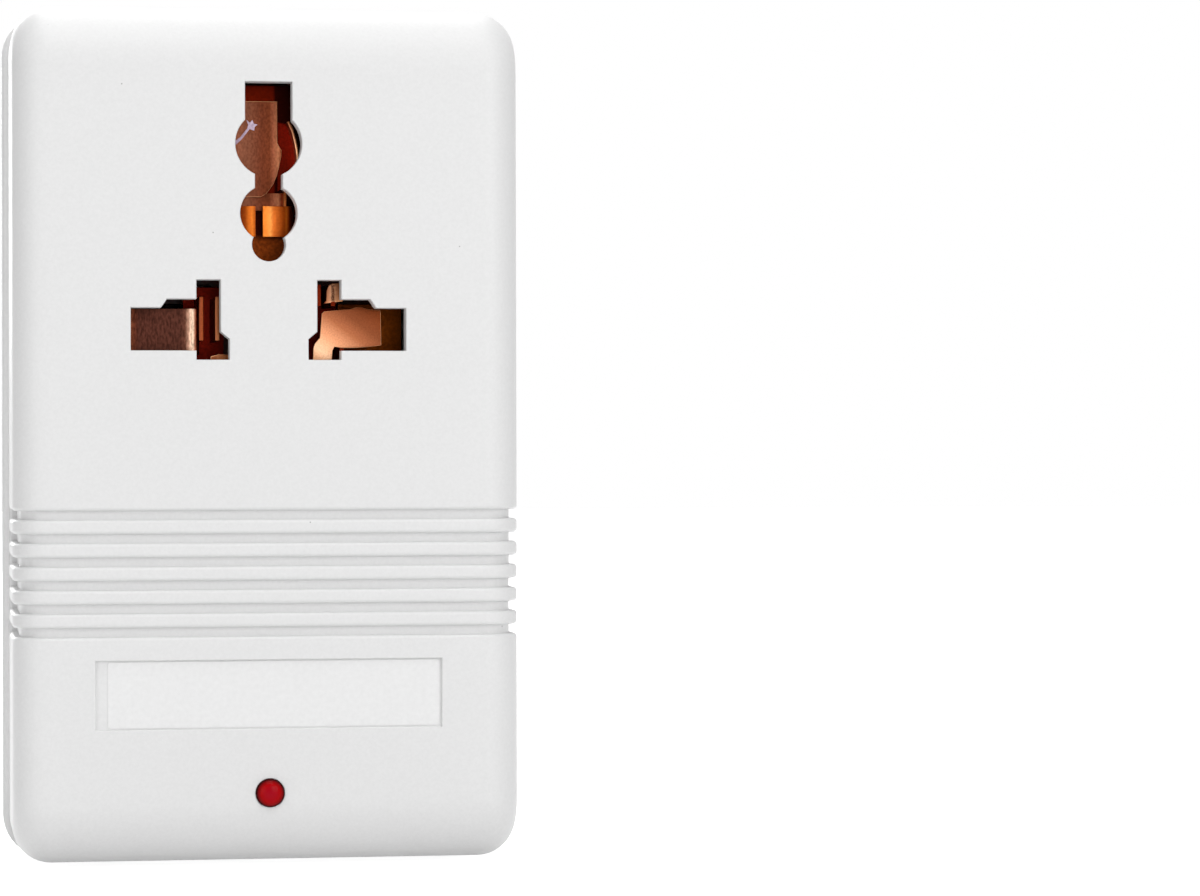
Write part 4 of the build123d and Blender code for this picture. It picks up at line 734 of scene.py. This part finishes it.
# %% [markdown]
# ## The socket contacts
# Three contacts sit behind the openings: one with a flat wall and a fork for each pin, and one for
# the earth pin with a plate, a curved spring and a slit band. Each is one stamping that was bent
# up. Here a strip is drawn as a line from above, raised, bent round at its corners and given the
# thickness of the sheet; a cut plate is drawn as its outline. Their sheared edges are broken, and
# those narrow faces mostly take a bright colour, bare metal with a painted highlight.

# %% Draw strips and plates of sheet
sheet, bend_radius = 0.45, 0.6
contact_y, leaf_front_y, strap_y = -23.35, -23.85, -15.15
earth_y, spine_y, wing_y, tail_end_y = -22.45, -19.95, -18.7, -9.45


def trim(piece, colours, width=0.06):
    """Dress a piece of sheet and break its sheared edges, which take its second colour."""
    piece.data.materials.clear()
    for colour in colours:
        piece.data.materials.append(colour)
    only(piece)
    edge = piece.modifiers.new("trim", "BEVEL")
    edge.width, edge.segments, edge.limit_method = width, 2, "ANGLE"
    edge.angle_limit = math.radians(50)
    edge.material = len(colours) - 1
    bpy.ops.object.modifier_apply(modifier=edge.name)
    return piece


def strip(points, low, high, colours, radius=bend_radius):
    """A strip of sheet along a line that is drawn from above, between two heights."""
    piece = drawn(points, socket_z + low, dimensions="3D")
    pick(piece, "EDGE", lambda edge: True)
    bpy.ops.mesh.extrude_region_move(TRANSFORM_OT_translate={"value": (0, 0, high - low)})
    round_edges(piece, lambda edge: len(edge.link_faces) == 2, radius, 6)
    thick = piece.modifiers.new("thick", "SOLIDIFY")
    thick.thickness, thick.offset = sheet, 0
    bpy.ops.object.modifier_apply(modifier=thick.name)
    pick(piece, "FACE", lambda face: True)
    bpy.ops.mesh.normals_make_consistent(inside=False)
    bpy.ops.object.mode_set(mode="OBJECT")
    return trim(piece, colours)


def plate(outline, front, colours, thick=sheet, width=0.08):
    """A cut plate of sheet, from its outline seen from the front."""
    loop = [(x, socket_z + z) for x, z in outline]
    return trim(prism(loop, front, front + thick), colours, width)


def gather(pieces):
    """Join the limbs of one contact into one piece."""
    only(pieces[0])
    for piece in pieces[1:]:
        piece.select_set(True)
    bpy.ops.object.join()
    soften(pieces[0])
    return pieces[0]


# %% Bend the left contact
# Its limbs are the flat wall, the fork, the ledge, the deep plate and the tail
line_contact = gather([
    strip([(-14.3, contact_y + sheet / 2), (-7.25, contact_y + sheet / 2), (-7.25, strap_y)],
          -2.6, 2.3, [line_bronze], 0.3),
    strip([(-6.85, leaf_front_y), (-6.85, strap_y), (-5.15, strap_y), (-5.15, leaf_front_y)],
          -1.1, 3.55, [ledge_bronze]),
    plate([(-5.85, -3.45), (-3.9, -3.45), (-3.9, -2.6), (-5.0, -2.5), (-5.85, -2.75)], contact_y,
          [ledge_bronze, bright_bronze]),
    plate([(-8.3, -3.4), (-3.9, -3.4), (-3.9, 4.9), (-8.3, 4.9)], strap_y - sheet, [deep_painted_shade_bronze]),
    strip([(-8.1, strap_y - 3.5), (-8.1, tail_end_y)], -5.0, -3.2, [leaf_bronze]),
])
hand_over(line_contact, "line_contact_bent", None, "case", "brushed_copper", "line_contact")

# %% Bend the right contact
neutral_outline = [
    (6.2, 2.05), (8.9, 2.3), (9.6, 2.5), (10.1, 2.55), (11.0, 2.28), (12.25, 2.2), (12.3, -1.55),
    (11.3, -1.7), (9.4, -1.85), (8.0, -1.85), (7.3, -1.72), (7.1, -2.1), (7.0, -3.4), (5.0, -3.4),
    (5.05, -1.9), (5.2, -1.4), (5.75, -0.75), (5.95, 1.8)]
curl_outline = [
    (6.0, 2.8), (6.35, 3.2), (6.4, 4.2), (6.6, 4.8), (7.0, 5.05), (8.2, 5.1), (8.2, 3.1),
    (7.0, 2.95)]
# Its limbs are the flat plate, the curled end, the fork, the wing, the upright, the tail and the
# deep plate
neutral_contact = gather([
    plate(neutral_outline, contact_y, [neutral_bronze, bright_bronze], width=0.04),
    plate(curl_outline, leaf_front_y, [curl_bronze], width=0.12),
    strip([(5.6, leaf_front_y), (5.6, strap_y), (7.1, strap_y), (7.1, leaf_front_y)],
          2.6, 4.9, [leaf_bronze]),
    plate([(8.1, -3.0), (15.0, -3.0), (15.0, 3.0), (8.1, 3.0)], wing_y, [wing_bronze]),
    strip([(8.1, contact_y + sheet / 2), (8.1, strap_y)], -3.2, 1.9, [leaf_bronze]),
    strip([(8.1, strap_y - sheet), (8.1, tail_end_y)], -5.0, -3.2, [leaf_bronze]),
    plate([(4.3, -3.2), (8.3, -3.2), (8.3, 4.9), (4.3, 4.9)], strap_y - sheet / 2, [deep_painted_shade_bronze]),
])
hand_over(neutral_contact, "neutral_contact_bent", None, "case", "brushed_copper",
          "neutral_contact")

# %% Bend the earth contact
earth_outline = [
    (-4.2, 24.4), (1.35, 24.4), (1.35, 19.95), (1.8, 19.2), (1.78, 18.6), (1.66, 18.0),
    (1.5, 17.2), (1.31, 16.5), (1.0, 15.7), (0.6, 15.1), (0.2, 14.6), (-0.4, 14.2), (-4.2, 14.2)]
spring_outline = [
    (2.35, 22.2), (2.75, 21.3), (3.05, 20.3), (3.25, 19.3), (3.36, 18.2), (3.36, 17.2),
    (3.66, 17.2), (3.66, 18.2), (3.55, 19.3), (3.35, 20.4), (3.0, 21.6), (2.6, 22.3)]
smear_outline = [
    (-3.2, 20.1), (-2.6, 20.55), (-1.85, 21.5), (-1.75, 21.9), (-1.95, 22.4), (-1.55, 22.1),
    (-1.3, 22.4), (-1.15, 22.0), (-0.75, 21.9), (-1.05, 21.65), (-1.1, 21.25), (-1.6, 21.4),
    (-2.45, 20.3), (-3.1, 19.7)]
# Its limbs are the plate, the spine, the hollow, the step, the curved spring, the tin splash, the
# web, the lug, the two halves of the band and the two tails
earth_contact = gather([
    plate(earth_outline, earth_y, [earth_bronze, bright_bronze], width=0.05),
    plate([(-4.2, 12.0), (-4.2, 26.3), (4.2, 26.3), (4.2, 12.0)], spine_y, [spine_bronze]),
    plate([(-4.2, 5.8), (4.2, 5.8), (4.2, 13.2), (-4.2, 13.2)], spine_y - 0.5, [hollow_painted_shade_bronze]),
    plate([(-4.2, 12.8), (2.05, 12.8), (2.05, 14.65), (-4.2, 14.65)], earth_y + 0.5,
          [earth_bronze, ledge_bronze]),
    plate(spring_outline, earth_y - 0.4, [spring_bronze], 2.8),
    plate(smear_outline, earth_y - 0.04, [smear_tin], 0.1, 0.02),
    plate([(1.5, 14.9), (3.5, 16.3), (3.4, 19.9), (2.6, 22.2), (1.5, 22.4)], spine_y - 0.3,
          [leaf_bronze]),
    plate([(2.0, 13.2), (2.3, 13.2), (2.3, 15.3), (2.0, 15.0)], earth_y, [ledge_bronze], 2.0),
    strip([(-3.7, spine_y), (-3.1, earth_y + 0.3), (-0.97, earth_y + 0.1)],
          9.97, 13.25, [band_bronze]),
    strip([(-0.25, earth_y + 0.1), (3.1, earth_y + 0.3), (3.7, spine_y)],
          9.97, 13.25, [band_bronze]),
    strip([(-3.7, spine_y), (-3.7, tail_end_y)], 18.0, 19.8, [leaf_bronze]),
    strip([(3.7, spine_y), (3.7, tail_end_y)], 18.0, 19.8, [leaf_bronze]),
])
hand_over(earth_contact, "earth_contact_bent", None, "case", "tinned_copper", "earth_contact")

# %% [markdown]
# ## The plug blades
# Each blade is one strip of brass folded double, so a seam runs round its edges, and its tip is
# bowed and chamfered to slip into an outlet. A block is cut to the bow, chamfered, slit for the
# seam and drilled. It is made once and copied, because both blades are the same.

# %% Model one blade and copy it
blade_half, blade_thick, tip_bow = 3.175, 1.5, 0.9
seam_half, seam_deep = 0.06, 0.5
hole_radius, hole_y, hole_rim = 1.7, back_y + 11.9, 0.15
tip_y = back_y + 18
foot_back_y = back_y - wall - 0.1
foot_front_y = foot_back_y - 1.4
bow_radius = (blade_half ** 2 + tip_bow ** 2) / (2 * tip_bow)


def bowed(thick, shrink):
    """A flat bar with a bowed tip, drawn in by an amount from its outline."""
    end_y, half, radius = tip_y - shrink, blade_half - shrink, bow_radius - shrink
    flat = bar(blade_x, blade_z, thick / 2, half, foot_front_y, end_y)
    corner = bar(blade_x, blade_z, 2, 4, end_y - 2 * tip_bow, end_y + overrun)
    combine(corner, [rod(end_y - radius, blade_z, radius, blade_x - 3, blade_x + 3, 192,
                         sideways=True)])
    combine(flat, [corner])
    return flat


blade = bowed(blade_thick, 0)
tip_chamfer, side_chamfer = 0.45, 0.18
round_edges(blade, lambda edge: all(near(abs(v.co.x - blade_x), blade_thick / 2)
                                    and v.co.y > tip_y - tip_bow - 0.05 for v in edge.verts)
            and near(edge.verts[0].co.x, edge.verts[1].co.x), tip_chamfer, 4)
round_edges(blade, lambda edge: near(abs(middle(edge).x - blade_x), blade_thick / 2)
            and near(abs(middle(edge).z - blade_z), blade_half)
            and middle(edge).y < tip_y - tip_bow, side_chamfer, 3)
seam = bar(blade_x, blade_z, seam_half, 5, back_y - overrun, tip_y + overrun)
combine(seam, [bowed(1.0, seam_deep)])
combine(blade, [seam])
combine(blade, [rod(hole_y, blade_z, hole_radius, blade_x - 2, blade_x + 2, 96, sideways=True)])
rim = round_edges(blade, lambda edge: all(
    near(abs(v.co.x - blade_x), blade_thick / 2)
    and near((v.co.yz - Vector((hole_y, blade_z))).length, hole_radius, 0.02)
    for v in edge.verts), hole_rim, 3)
foot_half, tail_half, tail_long = (1.5, 4.2), (0.4, 1.5), 6.3
combine(blade, [
    bar(blade_x, blade_z, *foot_half, foot_front_y, foot_back_y),
    bar(blade_x, blade_z, *tail_half, foot_front_y - tail_long, foot_front_y + 0.5),
], "UNION")
soften(blade)
twin = blade.copy()
twin.data = blade.data.copy()
bpy.context.scene.collection.objects.link(twin)
twin.location.x = -2 * blade_x
hand_over(blade, "neutral_blade_folded", nickel_blade, "case", "nickel_plated_brass",
          "neutral_blade")
hand_over(twin, "line_blade_folded", nickel_blade, "case", "nickel_plated_brass", "line_blade")
print("hole rim edges", rim)

# %% [markdown]
# ## The selector knob
# A black nylon knob slides behind the opening and picks the mains voltage. Ribs across it give a
# fingertip hold. The ribs are cut from a block and their edges rounded, because moulded nylon has
# no sharp edge. It rides on the selector's own body, so it moves with the joint.

# %% Model the knob
knob_x, knob_y, carriage_y = -1.5, back_y - 1.24, back_y - 3.0
knob_long, knob_high, rib_count, rib_gap, rib_deep = 6.0, 3.8, 6, 0.42, 0.4
carriage_half, carriage_thick = (5.1, 2.6), 1.6
rib_step = (knob_long - (rib_count - 1) * rib_gap) / rib_count + rib_gap
knob = bar(knob_x, selector_z, knob_long / 2, knob_high / 2, carriage_y - 0.4, knob_y)
slit_places = [knob_x + (place - 2) * rib_step for place in range(rib_count - 1)]
combine(knob, [bar(x, selector_z, rib_gap / 2, 3, knob_y - rib_deep, knob_y + overrun)
               for x in slit_places])
round_edges(knob, lambda edge: near(middle(edge).y, knob_y), 0.14, 3)
combine(knob, [bar(knob_x, selector_z, *carriage_half, carriage_y - carriage_thick, carriage_y)],
        "UNION")
soften(knob)
hand_over(knob, "selector_knob", black_nylon, "selector", "black_nylon", "selector_slider")

# %% [markdown]
# ## The lamp
# The indicator is a 3 mm light-emitting diode of red epoxy, with a domed end that stands a little
# out of the case and a flange behind the wall. The dome is drawn from the end face of a rod, inset
# and raised in small steps along a quarter of an ellipse.

# %% Model the lamp
lens_back, flange_front, flange_back, flange_radius = 3.2, 2.45, 3.35, 1.95
lens = rod(0, led_z, led_radius, front_y - 0.02, front_y + lens_back)
pick(lens, "FACE", lambda face: face.normal.y < -0.9)
dome_height, rings = 0.86, 12
for ring in range(rings):
    low, high = (math.pi / 2 * share / (rings + 0.4) for share in (ring, ring + 1))
    bpy.ops.mesh.inset(thickness=led_radius * (math.cos(low) - math.cos(high)),
                       depth=dome_height * (math.sin(high) - math.sin(low)))
bpy.ops.object.mode_set(mode="OBJECT")
combine(lens, [rod(0, led_z, flange_radius, front_y + flange_front, front_y + flange_back, 48)],
        "UNION")
soften(lens)
hand_over(lens, "lamp_lens", red_epoxy, "case", "red_epoxy", "indicator_led")

# %% [markdown]
# ## The label film
# The sunk panel in front holds a thin satin film of white polycarbonate. It is left blank here. A
# thin block is set on the floor of the panel, a little clear of its left wall, and its edges are
# broken, because die-cut film is never quite sharp.

# %% Lay the label film
film_left, film_right, film_half_height, film_thick = -16.9, 17.95, 3.45, 0.095
film_back_y = front_y + label_deep - 0.005
film = block((film_left, film_back_y - film_thick, label_z - film_half_height),
             (film_right, film_back_y, label_z + film_half_height))
round_edges(film, lambda edge: near(abs(edge.verts[0].co.y - edge.verts[1].co.y), film_thick),
            0.3, 4)
soften(film)
hand_over(film, "blank_label_film", label_white, "case", "paper_sticker")

# %% [markdown]
# ## The sticker and the marks
# A round paper sticker sits low on the back and is left blank here. The marks beside the selector
# are raised plain numbers in the same white as the case: text is drawn, turned into a mesh, and
# set on the floor of the sunk panel.

# %% Stick the sticker on
sticker_x, sticker_z, sticker_radius, sticker_thick = -1.5, floor_z + 8.8, 5.4, 0.1
disc = rod(sticker_x, sticker_z, sticker_radius, back_y, back_y + sticker_thick, 128)
round_edges(disc, lambda edge: near(middle(edge).y, back_y + sticker_thick, 0.02), 0.04, 2)
soften(disc)
hand_over(disc, "round_sticker", sticker_paper, "case", "paper_sticker", "inspection_sticker")


# %% Raise the numbers
number_x, number_size = 8.9, 2.6


def raised_number(words, x):
    """Plain numbers that stand 0.1 mm out of the panel, read from behind."""
    bpy.ops.object.text_add()
    piece = bpy.context.object
    piece.data.body = words
    piece.data.size = number_size
    piece.data.align_x, piece.data.align_y = "CENTER", "CENTER"
    piece.data.extrude = 0.06
    piece.data.offset = 0.02
    only(piece)
    bpy.ops.object.convert(target="MESH")
    piece = bpy.context.object
    piece.rotation_euler = (math.pi / 2, 0, math.pi)
    piece.location = (x, panel_y + 0.05, selector_z)
    bpy.ops.object.transform_apply()
    return piece


for words, x in (("110", number_x), ("220", -number_x)):
    hand_over(raised_number(words, x), "number_" + words, white_abs, "case", "white_abs")


# %% Finish the two halves
for half, name in ((front, "front_shell"), (back, "back_shell")):
    soften(half)
    hand_over(half, name + "_moulding", white_abs, "case", "white_abs", name)

# %% [markdown]
# ## Floor, light and background
# The converter stands on its bead on a pale floor. Six large soft lamps, three overhead and one
# each at the right, at the left and behind, light it like a studio tent. The background is white
# for the camera, in mirrors and through glass. For all else it is dim, a faint fill in the shade.

# %% Lay the floor
def seen(tree):
    """A factor that is 1 for what the camera sees, straight, in a mirror or through glass."""
    rays = add(tree, "LightPath")
    factor = rays.outputs["Is Camera Ray"]
    for other in ("Is Glossy Ray", "Is Transmission Ray"):
        factor = add(tree, "Math", {0: factor, 1: rays.outputs[other]},
                     operation="MAXIMUM").outputs[0]
    return factor


floor_size, floor_glow = 6, 0.9
bpy.ops.mesh.primitive_plane_add(size=floor_size, location=(0, 0, 0))
floor = bpy.context.object
floor.name = "studio_floor"
# Pale matt paper, which the eye sees melt into the white behind it
ground = bpy.data.materials.new("pale_floor")
ground.use_nodes = True
tree = ground.node_tree
paint = tree.nodes["Principled BSDF"]
paint.inputs["Base Color"].default_value = linear("#E8E8E8")
paint.inputs["Roughness"].default_value = 0.9
glow = add(tree, "Emission", {"Color": (1, 1, 1, 1), "Strength": floor_glow})
dark = add(tree, "Emission", {"Color": (0, 0, 0, 1), "Strength": 0.0})
extra = add(tree, "MixShader", {"Fac": seen(tree), 1: dark.outputs[0], 2: glow.outputs[0]})
both = add(tree, "AddShader", {0: paint.outputs[0], 1: extra.outputs[0]})
tree.links.new(both.outputs[0], tree.nodes["Material Output"].inputs["Surface"])
floor.data.materials.append(ground)


# %% Hang the lamps
softbox_size, lit_point = 0.6, Vector((0, 0, 0.045))


def lamp(name, place, power):
    """A square soft lamp that looks at the middle of the converter."""
    bpy.ops.object.light_add(type="AREA", location=place)
    light = bpy.context.object
    light.name = name
    light.data.size = softbox_size
    light.data.energy = power
    aim = lit_point - light.location
    light.rotation_euler = aim.to_track_quat("-Z", "Y").to_euler()


lamp("top_softbox", (-0.05, 0, 0.95), 2.0)
lamp("high_softbox", (0, -0.5, 0.9), 2.4)
lamp("high_back_softbox", (0, 0.5, 0.9), 2.4)
lamp("right_softbox", (0.469, -0.882, 0.369), 3.2)
lamp("left_softbox", (-0.6, -0.79, 0.3), 1.7)
lamp("back_softbox", (-0.12, 1.03, 0.37), 4.6)

# %% Whiten the background
room_light = 0.2
world = bpy.data.worlds.new("studio")
bpy.context.scene.world = world
world.use_nodes = True
tree = world.node_tree
room = tree.nodes["Background"]
room.inputs["Color"].default_value = (1, 1, 1, 1)
room.inputs["Strength"].default_value = room_light
backdrop = add(tree, "Background", {"Color": (1, 1, 1, 1), "Strength": 1.0})
whole = add(tree, "MixShader", {"Fac": seen(tree), 1: room.outputs[0], 2: backdrop.outputs[0]})
tree.links.new(whole.outputs[0], tree.nodes["World Output"].inputs["Surface"])
bpy.context.scene.view_settings.view_transform = "Standard"
